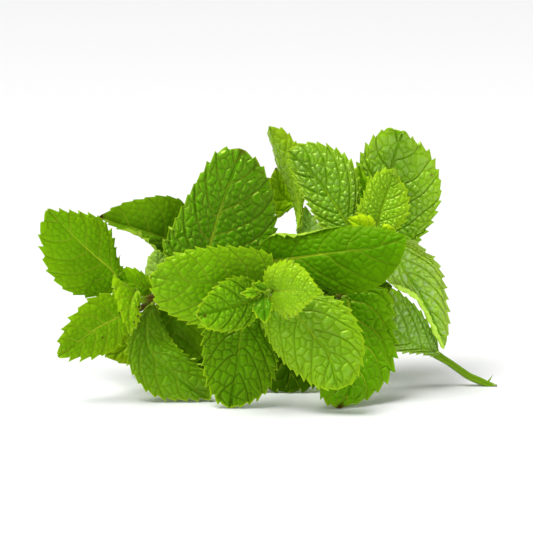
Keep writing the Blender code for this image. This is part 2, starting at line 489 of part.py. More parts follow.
def leaf_object(leaf):
    """A toothed blade: a grid laid on the leaf's surface, split and given its thickness."""
    points = Blade(leaf).grid() * MM
    columns, rows = points.shape[:2]
    build = bmesh.new()
    bmesh.ops.create_grid(build, x_segments=columns - 1, y_segments=rows - 1, size=1.0)
    for vertex in build.verts:
        column = round((vertex.co.x + 1) / 2 * (columns - 1))
        row = round((vertex.co.y + 1) / 2 * (rows - 1))
        vertex.co = Vector(points[column, row])
    bmesh.ops.triangulate(build, faces=build.faces[:], quad_method="SHORT_EDGE")
    for _ in range(FLOOR_PASSES):
        build.normal_update()
        for vertex in build.verts:
            lowest = FLOOR_GAP + abs(vertex.normal.z) * BLADE_THICKNESS / 2
            vertex.co.z = max(vertex.co.z, lowest * MM)
    mesh_data = bpy.data.meshes.new(leaf.name)
    build.to_mesh(mesh_data)
    build.free()
    piece = add_object(leaf.name, mesh_data, leaf.tone)
    thicken = piece.modifiers.new("thickness", "SOLIDIFY")
    thicken.thickness = BLADE_THICKNESS * MM
    thicken.offset = 0.0
    piece.data = applied(piece)
    for vertex in piece.data.vertices:
        if vertex.co.z < FLOOR_CATCH * MM:
            vertex.co.z = 0.0
    return piece


def ring_frame(point, run, up):
    """Matrix that stands a ring across a shoot."""
    side = unit(np.cross(up, run))
    top = np.cross(run, side)
    frame = Matrix((side, top, run)).transposed().to_4x4()
    frame.translation = Vector(point)
    return frame


def cut_slanting(build):
    """Slice the root of the stem along the line that its cut face shows from the front."""
    top, bottom = (Vector(seen(place)) * MM for place in STEM_CUT)
    along = bottom - top
    outward = Vector((-along.z, 0.0, along.x))
    reach = top.x - CUT_REACH * MM
    faces = [f for f in build.faces if min(v.co.x for v in f.verts) > reach]
    edges = {e for f in faces for e in f.edges}
    verts = {v for f in faces for v in f.verts}
    geometry = list(verts) + list(edges) + faces
    bmesh.ops.bisect_plane(build, geom=geometry, plane_co=top, plane_no=outward, clear_outer=True)
    bmesh.ops.contextual_create(build, geom=[e for e in build.edges if e.is_boundary])


def shoot_object(name, steps):
    """A slightly square tapering tube along a shoot, flat where it presses on the table."""
    axis, half = shoot_axis(name)
    stations = np.linspace(0, len(axis) - 1, steps).astype(int)
    build = bmesh.new()
    before = None
    ring = None
    for at in stations:
        run = unit(axis[min(at + 2, len(axis) - 1)] - axis[max(at - 2, 0)])
        frame = ring_frame(axis[at] * MM, run, RING_TOP)
        if ring is None:
            made = bmesh.ops.create_circle(build, cap_ends=True, radius=1.0, segments=STEM_SIDES)
            ring = made["verts"]
            for vertex in ring:
                angle = math.atan2(vertex.co.y, vertex.co.x)
                vertex.co *= (1 + STEM_SQUARENESS * math.cos(4 * angle))
            bmesh.ops.reverse_faces(build, faces=build.faces[:])
            place = frame @ Matrix.Scale(half[at] * MM, 4)
            bmesh.ops.transform(build, matrix=place, verts=ring)
        else:
            edges = [e for e in build.edges if e.verts[0] in ring and e.verts[1] in ring]
            made = bmesh.ops.extrude_edge_only(build, edges=edges)
            ring = [g for g in made["geom"] if isinstance(g, bmesh.types.BMVert)]
            place = frame @ Matrix.Scale(half[at] * MM, 4)
            bmesh.ops.transform(build, matrix=place @ before.inverted(), verts=ring)
        before = place
    bmesh.ops.contextual_create(build, geom=[e for e in build.edges if e.is_boundary])
    if name == "main":
        cut_slanting(build)
    for vertex in build.verts:
        vertex.co.z = max(vertex.co.z, 0.0)
    bmesh.ops.recalc_face_normals(build, faces=build.faces[:])
    mesh_data = bpy.data.meshes.new("shoot_" + name)
    build.to_mesh(mesh_data)
    build.free()
    return add_object("shoot_" + name, mesh_data, "stem")


def bud_object(name, shoot):
    """Closed bud, a small egg in line with its shoot."""
    place, run = bud_place(shoot)
    frame = ring_frame(place * MM, run, RING_TOP)
    build = bmesh.new()
    bmesh.ops.create_icosphere(build, subdivisions=1, radius=0.5)
    stretch = Matrix.Diagonal((BUD_WIDTH * MM, BUD_WIDTH * MM, BUD_LENGTH * MM, 1.0))
    bmesh.ops.transform(build, matrix=frame @ stretch, verts=build.verts)
    mesh_data = bpy.data.meshes.new(name)
    build.to_mesh(mesh_data)
    build.free()
    return add_object(name, mesh_data, "young")


def joined(target, others, name, tone, solver="EXACT"):
    """One solid of a piece and the pieces that grow from it."""
    group = bpy.data.collections.new("joined_" + name)
    bpy.context.scene.collection.children.link(group)
    for other in others:
        group.objects.link(other)
    union = target.modifiers.new("union", "BOOLEAN")
    union.operation = "UNION"
    union.solver = solver
    union.operand_type = "COLLECTION"
    union.collection = group
    target.name = name
    target.data = applied(target)
    target.data.materials.clear()
    target.data.materials.append(material(name, tone))
    for other in others:
        bpy.data.objects.remove(other)
    bpy.data.collections.remove(group)
    return target


def main():
    """Build the sprig."""
    for thing in list(bpy.data.objects):
        bpy.data.objects.remove(thing)
    trunk = shoot_object("main", TRUNK_RINGS)
    shoots = [shoot_object(name, SHOOT_RINGS) for name in SHOOTS if name != "main"]
    joined(trunk, shoots, "stem", "stem")
    leaves = {leaf.name: leaf_object(leaf) for leaf in LEAVES}
    for node, shoot in TIPS.items():
        young = [leaves[leaf.name] for leaf in LEAVES if leaf.stem == node]
        joined(bud_object("bud_" + shoot, shoot), young, node, "young", solver="MANIFOLD")


main()
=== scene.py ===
"""Looks of the spearmint sprig: finely veined leaves, square stem, buds and a pale studio.

The stem and the leaves follow the layout that the solids are built from. Each place of the
layout is (across, up, back) in millimetres, as an eye a little above the table sees it:
across and up are measured in the plane that faces the eye, back is the depth behind it.
A leaf is the surface between its midrib, its left margin and its right margin.
"""

import math
from collections import namedtuple

import bmesh
import bpy
import numpy as np
from bpy.props import FloatProperty, FloatVectorProperty, PointerProperty
from mathutils import Matrix, Vector


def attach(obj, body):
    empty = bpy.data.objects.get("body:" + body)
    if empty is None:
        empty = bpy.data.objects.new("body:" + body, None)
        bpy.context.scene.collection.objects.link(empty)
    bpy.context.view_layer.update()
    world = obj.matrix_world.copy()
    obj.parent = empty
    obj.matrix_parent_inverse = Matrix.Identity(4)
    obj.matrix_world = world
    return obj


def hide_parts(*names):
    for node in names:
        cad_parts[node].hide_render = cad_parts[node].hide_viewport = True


bl_info = {
    "name": "Spearmint Sprig",
    "version": (1, 0, 0),
    "blender": (4, 5, 0),
    "location": "3D View > Sidebar > Sprig",
    "description": "Builds a cut spearmint sprig: veined leaves, stem, shoot tips and a pale studio",
    "category": "Add Mesh",
}

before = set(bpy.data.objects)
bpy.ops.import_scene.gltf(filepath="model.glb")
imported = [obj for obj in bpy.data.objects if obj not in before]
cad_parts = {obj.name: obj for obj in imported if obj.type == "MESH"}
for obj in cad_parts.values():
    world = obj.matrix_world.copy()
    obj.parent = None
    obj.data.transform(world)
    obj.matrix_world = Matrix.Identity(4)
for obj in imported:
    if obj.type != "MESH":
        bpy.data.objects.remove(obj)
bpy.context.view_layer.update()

MM = 0.001

# The eye that the layout is written for, which is also the camera
EYE_TILT = math.radians(12.0)
EYE_REACH = 650.0
EYE_AIM_HEIGHT = 45.0
VIEW_WIDTH = 186.55
CENTRE_ACROSS = 2.43
CENTRE_BACK = 1.0

# Leaf outline, as in the solids: sizes in millimetres, places along a margin as a share of it
PETIOLE_WIDTH = 1.2
TIP_WIDTH = 0.3
BLADE_THICKNESS = 0.3
FIRST_TOOTH = 0.06
TOOTH_RISE = 0.76
TOOTH_HEIGHT = 1.25
TOOTH_OUTSIDE = 0.5
TOOTH_LEAN = 0.6
SMALL_TOOTH = 0.3
VEIN_FOOT = 1.5
VEIN_SWEEP = 1.35
SPAN_STEPS = 33
CURVE_STEPS = 120
RIB_STATIONS = 201
SMOOTHING = 15
RIB_STEP = 0.02
EDGE_STEP = 0.004

# How a kind of leaf is formed: side veins on each half, columns of cells between two of them,
# a cell's size, height of its dome, bulge between side veins, how calm the middle is, how deep
# the net's colour is (partly painted shade in its grooves), how much the margin waves, and the
# step between rows, lengths in mm
Look = namedtuple("Look", "veins split cell pucker quilt calm net wave step")
LOOKS = {
    "smooth": Look(5.2, 3, 1.9, pucker=0.34, quilt=0.22, calm=0.6, net=0.60, wave=0.5, step=0.36),
    "flat": Look(5.2, 3, 2.2, pucker=0.20, quilt=0.20, calm=0.5, net=0.45, wave=0.5, step=0.40),
    "blistered": Look(5.0, 3, 2.4, pucker=0.62, quilt=0.38, calm=0.6, net=0.70, wave=0.5, step=0.34),
    "cushioned": Look(4.8, 3, 2.6, pucker=0.52, quilt=0.12, calm=0.9, net=0.90, wave=0.4, step=0.36),
    "scaly": Look(5.0, 3, 2.0, pucker=0.52, quilt=0.40, calm=0.8, net=0.50, wave=0.4, step=0.32),
    "beaded": Look(5.0, 3, 1.6, pucker=0.42, quilt=0.15, calm=0.9, net=0.45, wave=0.4, step=0.28),
    "fine": Look(5.0, 4, 1.5, pucker=0.34, quilt=0.18, calm=0.8, net=0.50, wave=0.4, step=0.28),
    "tiny": Look(3.2, 2, 1.1, pucker=0.20, quilt=0.25, calm=0.9, net=0.35, wave=0.2, step=0.36),
    "inner": Look(4.2, 2, 2.2, pucker=0.40, quilt=0.35, calm=0.6, net=0.50, wave=0.3, step=0.55),
    "behind": Look(5.0, 3, 2.2, pucker=0.40, quilt=0.35, calm=0.6, net=0.40, wave=0.5, step=0.55),
}

# How one leaf is finished: its kind, how light its tone is (partly painted light and shade) and how
# warm, how pale its midrib and its side veins are, how dark the grooves of the net (partly painted
# shade), how bright the rim, how brown the tip, how strong the painted sheen on the tops of the
# domes, how dark the painted shade over the blade's base, how far the midrib is flushed, the slant
# of the side veins, size of the teeth and turn of the folded margin on the left and right half,
# where along the blade it folds, how far the tip curls, brown spots as (along, across, radius in
# mm), where its first side vein starts, how glossy it is, how wide its midrib is and how light
# its lower side (lighter as painted light where it gets little light)
Finish = namedtuple(
    "Finish", "look light warm rib branch groove rim tip sheen heart flush slant bite roll rolled curl "
    "spots offset gloss width below",
    defaults=(1.0, 1.0, 0.5, 0.25, 0.4, 0.6, 0.0, 0.0, 0.0, 0.0, (1.0, 1.0), (1.0, 1.0), (0.0, 0.0),
              (0.1, 0.9), 0.0, (), 0.35, 1.0, 1.0, 1.0))
BEHIND = Finish("behind", rib=0.6, branch=0.2, groove=0.5)
BEHIND_PALER = Finish("behind", rib=0.6, branch=0.4)
TOP_TIP = Finish("tiny", 1.35, 1.16, rib=0.3, branch=0.1, groove=0.3, rim=1.0)

Shoot = namedtuple("Shoot", "route root_width tip_width")
SHOOTS = {
    "main": Shoot(
        route=((80.5, -42.5, 7), (77.5, -41.5, 7), (74.5, -40, 7), (71, -38.5, 7), (68, -36.5, 7),
               (64.5, -34, 7), (60.5, -31.5, 7.5), (53.5, -27, 8), (45.5, -21.5, 8.5), (37, -16, 8),
               (29, -11.5, 7), (16, -7, 6), (3, -3.5, 5), (-11, -3, 4), (-23.5, -5, 2),
               (-33, -8, 0), (-40, -11.5, -3), (-46.5, -11.5, -7), (-50, -10.5, -9)),
        root_width=2.7, tip_width=1.7),
    "front": Shoot(
        route=((3.5, -3.5, 5), (2, -5.5, -5), (0.5, -8, -15), (0, -9.5, -25)),
        root_width=2.2, tip_width=1.4),
    "top": Shoot(
        route=((29, -11.5, 7), (32.5, -4.5, 9), (35, 3.5, 7), (37.5, 9, 3), (38.5, 10.5, 0)),
        root_width=2.4, tip_width=1.4),
    "middle": Shoot(
        route=((7, -4.5, 6), (9.5, 1.5, 12), (11.5, 7, 17), (12.5, 13, 21), (12.5, 18.5, 23)),
        root_width=2, tip_width=1.4),
}

# Leaves by group: name, shoot or tip that it grows on, tone, teeth on each half of the solid, their
# size, how far the two halves arch in mm, finish, midrib, left margin and right margin
Leaf = namedtuple("Leaf", "name stem tone teeth tooth arch finish rib left right")
LEAVES = {
    "front rosette": (
        Leaf("leaf_front_left_large", "front", "fresh", 11, 1, (0.6, 0.8), Finish("smooth", 1.16, 0.87,
             rib=0.3, branch=0.3, groove=0.6, rim=0.9, heart=0.5, slant=(1.2, 1.0)),
             rib=((-2.5, -8, -19), (-9.5, -7, -21), (-18.5, -6, -23), (-30.5, -5, -24), (-41, -3.5, -22)),
             left=((-2.5, -15, -18), (-9.5, -21.5, -21), (-20, -22, -24), (-30.5, -18.5, -24),
             (-38.5, -13, -23)), right=((2, -3, -18), (2.5, 2, -18), (-1, 5.5, -18), (-12, 7, -20),
             (-24.5, 6.5, -21), (-35, 3, -22))),
        Leaf("leaf_front_left_small", "front", "fresh", 9, 0.8, (0.6, 0.6), Finish("blistered", 1.09, 0.83,
             rib=0.3, branch=0.1, groove=0.5, rim=1.0, heart=0.6, spots=((0.9, 0.3, 0.6),)),
             rib=((-2, -10.5, -24), (-8, -13, -27), (-15.5, -15, -30), (-24.5, -17, -31)),
             left=((-2.5, -15.5, -25), (-5.5, -20.5, -28), (-11.5, -23, -31), (-17.5, -22.5, -32),
             (-22, -21, -32)), right=((-3.5, -6, -24), (-8, -3.5, -27), (-14.5, -4.5, -29), (-20, -9, -30),
             (-23.5, -13.5, -31))),
        Leaf("leaf_front_right_small", "front", "young", 10, 0.7, (0.6, 0.6), Finish("fine", 1.03, 0.94,
             rib=0.6, branch=0.15, groove=0.25, rim=0.9, sheen=0.12, heart=0.15, gloss=0.8),
             rib=((2, -8.5, -24), (7, -8.5, -28), (13.5, -8.5, -31), (19.5, -9, -32)), left=((-1, -6, -23),
             (-0.5, -1.5, -24), (2.5, 1, -25), (7.5, 2.5, -27), (13, -0.5, -29), (16.5, -5, -31)),
             right=((1.5, -11.5, -24.5), (3, -15.5, -25), (6, -18.5, -26.5), (10, -17.5, -28),
             (13.5, -14, -30), (17, -11, -31))),
        Leaf("leaf_front_right_large", "front", "fresh", 11, 0.9, (0.8, 0.8), Finish("cushioned", 1.19, 0.98,
             rib=0.8, branch=0.05, groove=0.5, rim=0.9, sheen=0.1, slant=(1.2, 1.2)),
             rib=((1.5, -11.5, -18), (10.5, -17.5, -23), (17.5, -25.5, -26), (22, -31.5, -28),
             (25, -43, -31)), left=((11.5, -9.5, -18), (22, -10, -21), (28.5, -14.5, -24),
             (33.5, -23.5, -27), (34, -32.5, -29), (30.5, -40.5, -31)), right=((-2, -18, -18),
             (1, -26.5, -22), (6, -33.5, -25), (13, -39.5, -28), (19.5, -43, -30))),
    ),
    "low": (
        Leaf("leaf_low_front_left", "front", "deep", 10, 1.1, (0.8, 0.8), Finish("cushioned", 1.25, 0.9,
             rib=0.4, branch=0.0, groove=0.8, rim=0.8, slant=(1.1, 1.1), gloss=0.8),
             rib=((-2, -13, -13), (-8, -20, -16), (-9.5, -27.5, -19), (-10.5, -37, -20.5),
             (-13, -49.5, -22)), left=((-1.5, -19.5, -15), (2.5, -27.5, -17), (4, -35, -19),
             (0.5, -43.5, -21), (-6, -48, -22)), right=((-13.5, -17, -14), (-21.5, -21.5, -16),
             (-22.5, -30, -18), (-21.5, -39.5, -20), (-18, -46.5, -21.5))),
        Leaf("leaf_low_front_right", "main", "deep", 10, 1.3, (0.8, 0.8), Finish("blistered", 1.87, 0.93,
             rib=0.8, branch=1.0, groove=0.3, rim=0.5, tip=1.0, flush=0.15, slant=(1.3, 1.3), gloss=0.8),
             rib=((28, -10.5, -1.5), (30, -18, -7), (31.5, -29, -12), (30, -40.5, -18),
             (25.5, -49.5, -22.5)), left=((32.5, -6, -4), (38.5, -6.5, -5.5), (43.5, -10, -7),
             (45, -20.5, -9), (45.5, -30, -11), (43, -39, -14), (35, -46.5, -19)), right=((22, -14, -8),
             (18, -22, -13), (16.5, -33.5, -17), (18, -43, -21), (21, -48, -23))),
        Leaf("leaf_low_left_large", "main", "fresh", 11, 0.9, (0.8, 0.8), Finish("smooth", 0.9, 0.87,
             rib=0.2, branch=0.2, groove=0.5, rim=0.9, sheen=0.05, heart=0.7, flush=0.1, slant=(1.2, 0.9),
             gloss=0.8),
             rib=((-40, -13, -5), (-42, -19, -8), (-41, -29, -11), (-35, -35.5, -13), (-27.5, -42, -14),
             (-19.5, -46.5, -14)), left=((-38.5, -14, -5), (-35.5, -21, -5), (-31, -28.5, -7),
             (-23.5, -34, -10), (-19, -40.5, -13)), right=((-43, -15, -7.5), (-48, -24, -12),
             (-49, -32.5, -14), (-44.5, -41, -15), (-37.5, -46, -15), (-27, -47, -15))),
        Leaf("leaf_low_left_behind", "main", "deep", 5, 0.6, (0.5, 0.5), Finish("inner", 2.2, 1.49, rib=0.3,
             branch=0.3, rim=0.4),
             rib=((-38.5, -15.5, 1), (-43.5, -22, 0), (-50, -29, -2), (-56.5, -31.5, -4.5)),
             left=((-38.5, -25.5, 0), (-45, -33.5, -2), (-50.5, -34, -3)), right=((-45, -16, 1),
             (-51, -21, 0), (-55, -27, -2))),
        Leaf("leaf_low_middle", "main", "dark", 8, 1, (0.5, 0.5), Finish("inner", 0.87, 0.9, rib=0.4,
             branch=0.3, groove=0.5, rim=0.0, gloss=0.3),
             rib=((6, -11.5, 5), (7, -20.5, 5), (8, -32.5, 1), (8, -44, -3)), left=((11.5, -17, 4),
             (18, -29, 1), (19.5, -38, -2), (15, -43, -3)), right=((0.5, -17, 5), (-3.5, -27.5, 3),
             (-3.5, -37, 0), (0, -43, -2.5))),
    ),
    "far left": (
        Leaf("leaf_far_left_upper", "main", "fresh", 9, 1, (0.8, 0.8), Finish("smooth", 1.13, 0.89, rib=1.0,
             branch=0.45, groove=0.45, gloss=0.4, width=0.8),
             rib=((-52.5, -4, -6), (-54.5, -1, -6), (-61, 4.5, -8), (-67.5, 10.5, -11), (-76.5, 20, -14)),
             left=((-54, -9, -5), (-59.5, -11, -6), (-70, -8.5, -9), (-77, -0.5, -12), (-79.5, 11, -14),
             (-78, 17.5, -14)), right=((-50, -1, -4), (-52.5, 6, -4), (-54, 12, -5), (-58.5, 17.5, -7),
             (-68, 19.5, -11))),
        Leaf("leaf_far_left_lower", "main", "young", 7, 1.1, (0.6, 0.6), Finish("smooth", 0.7, 0.79, rib=1.0,
             branch=0.5, groove=0.5, rim=0.7, spots=((0.5, 0.4, 0.5),), gloss=0.4, width=0.9),
             rib=((-51, -17, -12), (-53.5, -18.5, -13), (-60, -22, -15), (-66.5, -27, -16),
             (-73, -31.5, -17)), left=((-48, -19.5, -12), (-49, -24, -13), (-52, -28, -14),
             (-56, -30.5, -15), (-62.5, -32.5, -16), (-69, -32.5, -17)), right=((-50.5, -10, -11),
             (-54.5, -9, -11.5), (-60.5, -10.5, -13), (-67.5, -16.5, -15), (-72.5, -25, -17))),
        Leaf("leaf_far_left_hanging", "main", "fresh", 5, 0.8, (0.5, 0.5), Finish("smooth", 1.38, 1.03,
             rib=0.4, branch=0.5, groove=0.3, rim=0.9, spots=((0.45, 0.85, 0.7), (0.62, 0.85, 0.6),
             (0.78, 0.6, 0.5)), gloss=0.6),
             rib=((-45.5, -8, -13), (-47, -11.5, -17), (-48, -17.5, -19), (-47.5, -24, -20)),
             left=((-43.5, -10.5, -14.5), (-44.5, -15.5, -17.5), (-44.5, -19.5, -19)),
             right=((-49.5, -6.5, -15), (-54, -3.5, -16), (-52.5, -12.5, -18.5), (-50, -19.5, -20))),
        Leaf("leaf_far_left_inner", "main", "deep", 5, 0.7, (0.5, 0.5), Finish("smooth", 2.68, 1.16, rib=0.4,
             branch=0.3, rim=0.5, flush=0.1, gloss=0.4),
             rib=((-40, -8, 0.5), (-46, -6, -2.5), (-54, -3.5, -3)), left=((-40.5, -11, 1),
             (-45, -10.5, -1.5), (-51, -7, -3.5)), right=((-40, -4.5, 0.5), (-45.5, -1, -1),
             (-50.5, -0.5, -2))),
    ),
    "top": (
        Leaf("leaf_upright_left", "main", "deep", 10, 1, (1, 1), Finish("blistered", 1.39, 0.79, rib=1.0,
             branch=0.4, groove=0.85, tip=0.5, slant=(1.3, 1.3), gloss=1.4, width=1.25),
             rib=((-22, -0.5, 1), (-20, 7, 3), (-16.5, 19, 5), (-13, 29.5, 6), (-8.5, 41, 8)),
             left=((-28, -1, 0), (-36.5, 6, 0), (-32.5, 15.5, 2), (-26.5, 26.5, 5), (-20, 37, 7),
             (-15, 41.5, 8)), right=((-14.5, -2, 2), (-1.5, 1.5, 5), (3.5, 13.5, 8), (2.5, 26, 9),
             (-1.5, 35, 9), (-6, 39.5, 8))),
        Leaf("leaf_folded_left", "main", "dark", 8, 0.7, (0.6, 0.8), Finish("flat", 2.2, 1.09, rib=0.8,
             branch=0.4, groove=0.55, rim=0.3, tip=1.0, flush=0.6, roll=(2.4, 0.0), rolled=(0.28, 0.8),
             gloss=0.5),
             rib=((-29, 6.5, 11), (-34.5, 9.5, 8), (-44.5, 13, 3), (-52, 15, 1), (-58.5, 17.5, 0)),
             left=((-31, 3.5, 9), (-37.5, 5, 4), (-45, 10, -2), (-53, 13.5, -1)), right=((-27, 14.5, 13),
             (-29, 22.5, 14), (-36, 25, 11), (-43, 24, 7), (-50.5, 22, 4))),
        Leaf("leaf_curled_top", "middle", "dark", 5, 0.6, (0.5, 0.5), Finish("inner", 4.7, 1.6, rib=0.3,
             branch=0.3, rim=0.3, tip=0.8, gloss=0.3),
             rib=((10.5, 22, 27), (7.5, 23, 29), (4.5, 27, 29), (3.5, 34.5, 28)), left=((8, 19.5, 28),
             (3.5, 17.5, 27), (1, 24, 26), (1, 30.5, 26)), right=((9, 27, 30), (6, 31, 30))),
        Leaf("leaf_narrow_top", "middle", "fresh", 9, 0.8, (0.3, 0.6), Finish("smooth", 1.39, 1.19, rib=0.8,
             branch=0.4, groove=0.3, rim=0.5, sheen=0.1),
             rib=((11, 12, 14), (11.5, 19, 16), (9.5, 28, 18), (6, 37, 19), (3, 43, 20), (1, 49, 20)),
             left=((10.5, 16.5, 19), (9, 23.5, 23), (4.5, 32.5, 25), (1.5, 42.5, 25), (0.5, 46.5, 23)),
             right=((12.5, 15.5, 15), (13, 21.5, 15), (13.5, 30.5, 14), (13, 37.5, 15), (10.5, 43, 17),
             (6, 48, 19))),
        Leaf("leaf_broad_top", "top", "fresh", 10, 0.8, (0.6, 1.5), Finish("scaly", 1.09, 0.96, rib=0.4,
             branch=0.0, rim=0.9, sheen=0.16, slant=(1.0, 1.5), gloss=1.2),
             rib=((30.5, 12, 2), (24.5, 21, 5), (19, 29, 8), (13.5, 35, 10), (7.5, 40.5, 12)),
             left=((25.5, 11.5, 1), (19.5, 14, 3), (14, 22, 6), (11, 28, 9), (8, 35, 12)),
             right=((31.5, 18, 3), (33, 27, 6), (31, 35, 9), (25, 41, 12), (18, 43.5, 13), (11.5, 43, 13))),
        Leaf("leaf_sliver_top", "top", "deep", 4, 0.6, (0.5, 0.5), Finish("inner", 3.0, 1.15, rib=0.3,
             branch=0.2, rim=0.3),
             rib=((31.5, 14, 8), (33.5, 21.5, 10), (34, 28, 12), (32, 35.5, 13)), left=((29.5, 19, 10),
             (30, 28.5, 13)), right=((34.5, 19, 9), (36.5, 29, 11))),
        Leaf("leaf_upright_right", "top", "fresh", 11, 1, (1, 1), Finish("scaly", 1.52, 1.02, rib=0.4,
             branch=0.1, groove=0.6, sheen=0.2, curl=1.3, spots=((0.66, -0.85, 0.6),), gloss=1.3),
             rib=((42, 7, 13), (42.5, 18, 15), (43, 28.5, 16), (44.5, 38, 17), (48, 48, 16)),
             left=((35, 10, 14), (30.5, 21.5, 16), (31, 33, 16), (34.5, 42, 16), (39, 46.5, 16),
             (43, 49, 16)), right=((48.5, 5, 12), (54.5, 10, 13), (59.5, 19, 15), (61, 29.5, 17),
             (57.5, 39.5, 18), (51.5, 44.5, 17))),
        Leaf("leaf_young_top", "top", "young", 8, 0.9, (0.6, 0.6), Finish("beaded", 0.84, 0.87, rib=0.3,
             branch=0.1, groove=0.45, rim=1.0, sheen=0.06, gloss=1.2),
             rib=((38.5, 13.5, 1), (40, 19, 3), (42, 25.5, 5), (45, 34, 6)), left=((34, 14, 1),
             (31.5, 19, 2), (33.5, 24.5, 4), (36, 30.5, 6), (40.5, 34, 7)), right=((43, 11.5, 0),
             (48, 15, 1), (50, 21, 3), (49, 27, 5), (46.5, 31, 7))),
        Leaf("leaf_dull_top", "middle", "dull", 4, 0.6, (0.5, 0.5), Finish("inner", 2.19, 1.08, rib=0.4,
             branch=0.4, groove=0.3, rim=0.3, sheen=0.6),
             rib=((15.5, 10, 16.5), (15, 14.5, 17.5), (13.5, 21, 18.5)), left=((12.5, 10, 17),
             (12, 16.5, 18)), right=((21.5, 10, 17), (17.5, 16.5, 18))),
    ),
    "middle and right": (
        Leaf("leaf_long_middle", "main", "deep", 11, 0.9, (0.8, 0.8), Finish("smooth", 1.32, 0.88, rib=0.9,
             branch=0.3, groove=0.45, rim=0.15, slant=(0.3, 0.8), bite=(0.8, 0.35), roll=(2.6, 0.0),
             rolled=(0.16, 0.62), gloss=0.3, width=1.3),
             rib=((-1, 1.5, -1), (6.5, 2.5, -5), (17, 4, -9), (29, 5.5, -13), (39, 7, -15), (49, 10.5, -16)),
             left=((-3, 6.5, -3), (3, 11.5, -4), (11.5, 11.5, -5), (25.5, 14, -8), (38, 14, -12),
             (46, 12, -15)), right=((6.5, -6, -8), (18.5, -8, -10), (29, -9.5, -13), (39, -7, -15),
             (45.5, -0.5, -16), (48.5, 6, -17))),
        Leaf("leaf_hanging_right", "top", "fresh", 9, 0.9, (0.8, 0.3), Finish("blistered", 2.12, 1.25,
             rib=0.3, branch=0.1, groove=0.6, rim=0.9, sheen=0.7, slant=(1.8, 1.3), bite=(1.0, 0.25),
             roll=(0.0, 2.3), rolled=(0.3, 1.0), gloss=1.5, below=2.0),
             rib=((44.5, 5, 2), (48, -1, 3), (53, -9, 4), (57.5, -17.5, 5), (60.5, -24.5, 5.5),
             (62, -28.5, 5.5)), left=((50, 9.5, 2), (55, 6.5, 4), (61, -0.5, 6), (63.5, -12, 7.5),
             (63.5, -23.5, 7)), right=((41.5, 1, -1), (42, -4.5, -1), (48, -9, -0.5), (52.5, -12, 1),
             (56.5, -18.5, 2), (59, -24.5, 4))),
        Leaf("leaf_low_right", "main", "deep", 8, 0.7, (0.6, 0.8), Finish("blistered", 3.21, 1.38, rib=0.3,
             branch=0.1, groove=0.6, rim=0.4, sheen=0.75, heart=0.7, gloss=1.5),
             rib=((60, -30, 5), (56.5, -29, 4.5), (49.5, -25.5, 3), (39, -18.5, 1)), left=((58.5, -31.5, 3),
             (53.5, -30.5, 2), (46.5, -30, 0), (41.5, -27.5, 0)), right=((60, -27, 6.5), (57.5, -21, 7.5),
             (53.5, -15, 7), (48, -10, 6.5), (43.5, -7.5, 5), (41, -10.5, 4))),
    ),
    "inner": (
        Leaf("leaf_inner_left", "main", "dark", 6, 0.8, (0.5, 0.5), Finish("inner", 2.19, 1.14, rib=0.4,
             branch=0.4, rim=0.0, gloss=0.3),
             rib=((-32.5, -11, 4), (-33.5, -17, 6), (-32.5, -27, 7), (-30.5, -35, 6)), left=((-27, -13.5, 5),
             (-20.5, -20.5, 4), (-20.5, -31, 4)), right=((-38.5, -12.5, 4), (-41, -20.5, 6),
             (-37.5, -29, 7))),
        Leaf("leaf_inner_low", "main", "dark", 5, 0.8, (0.5, 0.5), Finish("inner", 1.0, 0.84, rib=0.4,
             branch=0.4, rim=0.0, gloss=0.3),
             rib=((-19, -9, 8), (-20, -17, 12), (-21.5, -27.5, 13), (-22.5, -41, 12)), left=((-14, -16, 12),
             (-14, -29, 13)), right=((-26, -16, 13), (-29, -29, 14))),
        Leaf("leaf_inner_far_left", "main", "dull", 4, 0.4, (0.5, 0.5), Finish("inner", 1.77, 1.04, rib=0.4,
             branch=0.3, groove=0.2, rim=0.3),
             rib=((-35, -4, 4), (-37.5, 1, 7), (-37.5, 6.5, 9)), left=((-41.5, -5.5, 6), (-42.5, -2, 8),
             (-41, 4, 9)), right=((-33, -0.5, 9), (-34.5, 4.5, 10))),
        Leaf("leaf_inner_middle", "main", "dark", 5, 0.6, (0.5, 0.5), Finish("inner", 1.0, 0.85, rib=0.4,
             branch=0.4, groove=0.3, rim=0.0, gloss=0.3),
             rib=((13, -10.5, 2), (18, -9.5, 2), (25, -8, 2)), left=((13.5, -4.5, 2), (19.5, -3.5, 2)),
             right=((17, -15, 0), (22.5, -14, 0))),
        Leaf("leaf_inner_right", "main", "dark", 4, 0.6, (0.5, 0.5), Finish("inner", 1.0, 0.85, rib=0.4,
             branch=0.4, groove=0.3, rim=0.3, gloss=0.3),
             rib=((33.5, -10.5, 2), (39, -8, 1), (44, -7, 1)), left=((36, -4.5, 2), (41, -4.5, 2)),
             right=((38, -11.5, 1), (42, -10.5, 1))),
    ),
    "back": (
        Leaf("leaf_back_upright", "main", "deep", 8, 0.9, (0.6, 0.6), BEHIND,
             rib=((-11.5, 0, 10), (-10.5, 7.5, 20), (-10, 15.5, 29), (-9.5, 24, 34)), left=((-1.5, 5, 18),
             (1, 14.5, 28), (-3, 21.5, 34)), right=((-20.5, 6, 18), (-21, 15.5, 29), (-15.5, 22, 34))),
        Leaf("leaf_back_low_left", "main", "deep", 8, 0.9, (0.6, 0.6), BEHIND,
             rib=((-13.5, -8, 10), (-13.5, -16, 19), (-14, -26.5, 26), (-14.5, -35, 30), (-15, -36, 35)),
             left=((-22, -15, 20), (-25.5, -25.5, 27), (-22, -35, 31)), right=((-6, -16, 20),
             (-4.5, -26.5, 27), (-7.5, -35, 31))),
        Leaf("leaf_back_low_right", "main", "deep", 8, 0.9, (0.6, 0.6), BEHIND_PALER,
             rib=((24, -14, 13), (25, -19.5, 20), (25.5, -28, 27), (25.5, -35, 31), (25.5, -35.5, 36)),
             left=((17.5, -18, 20), (14.5, -28, 28), (18, -34.5, 32.5)), right=((32.5, -18, 20),
             (36, -28, 28), (33.5, -34.5, 32.5))),
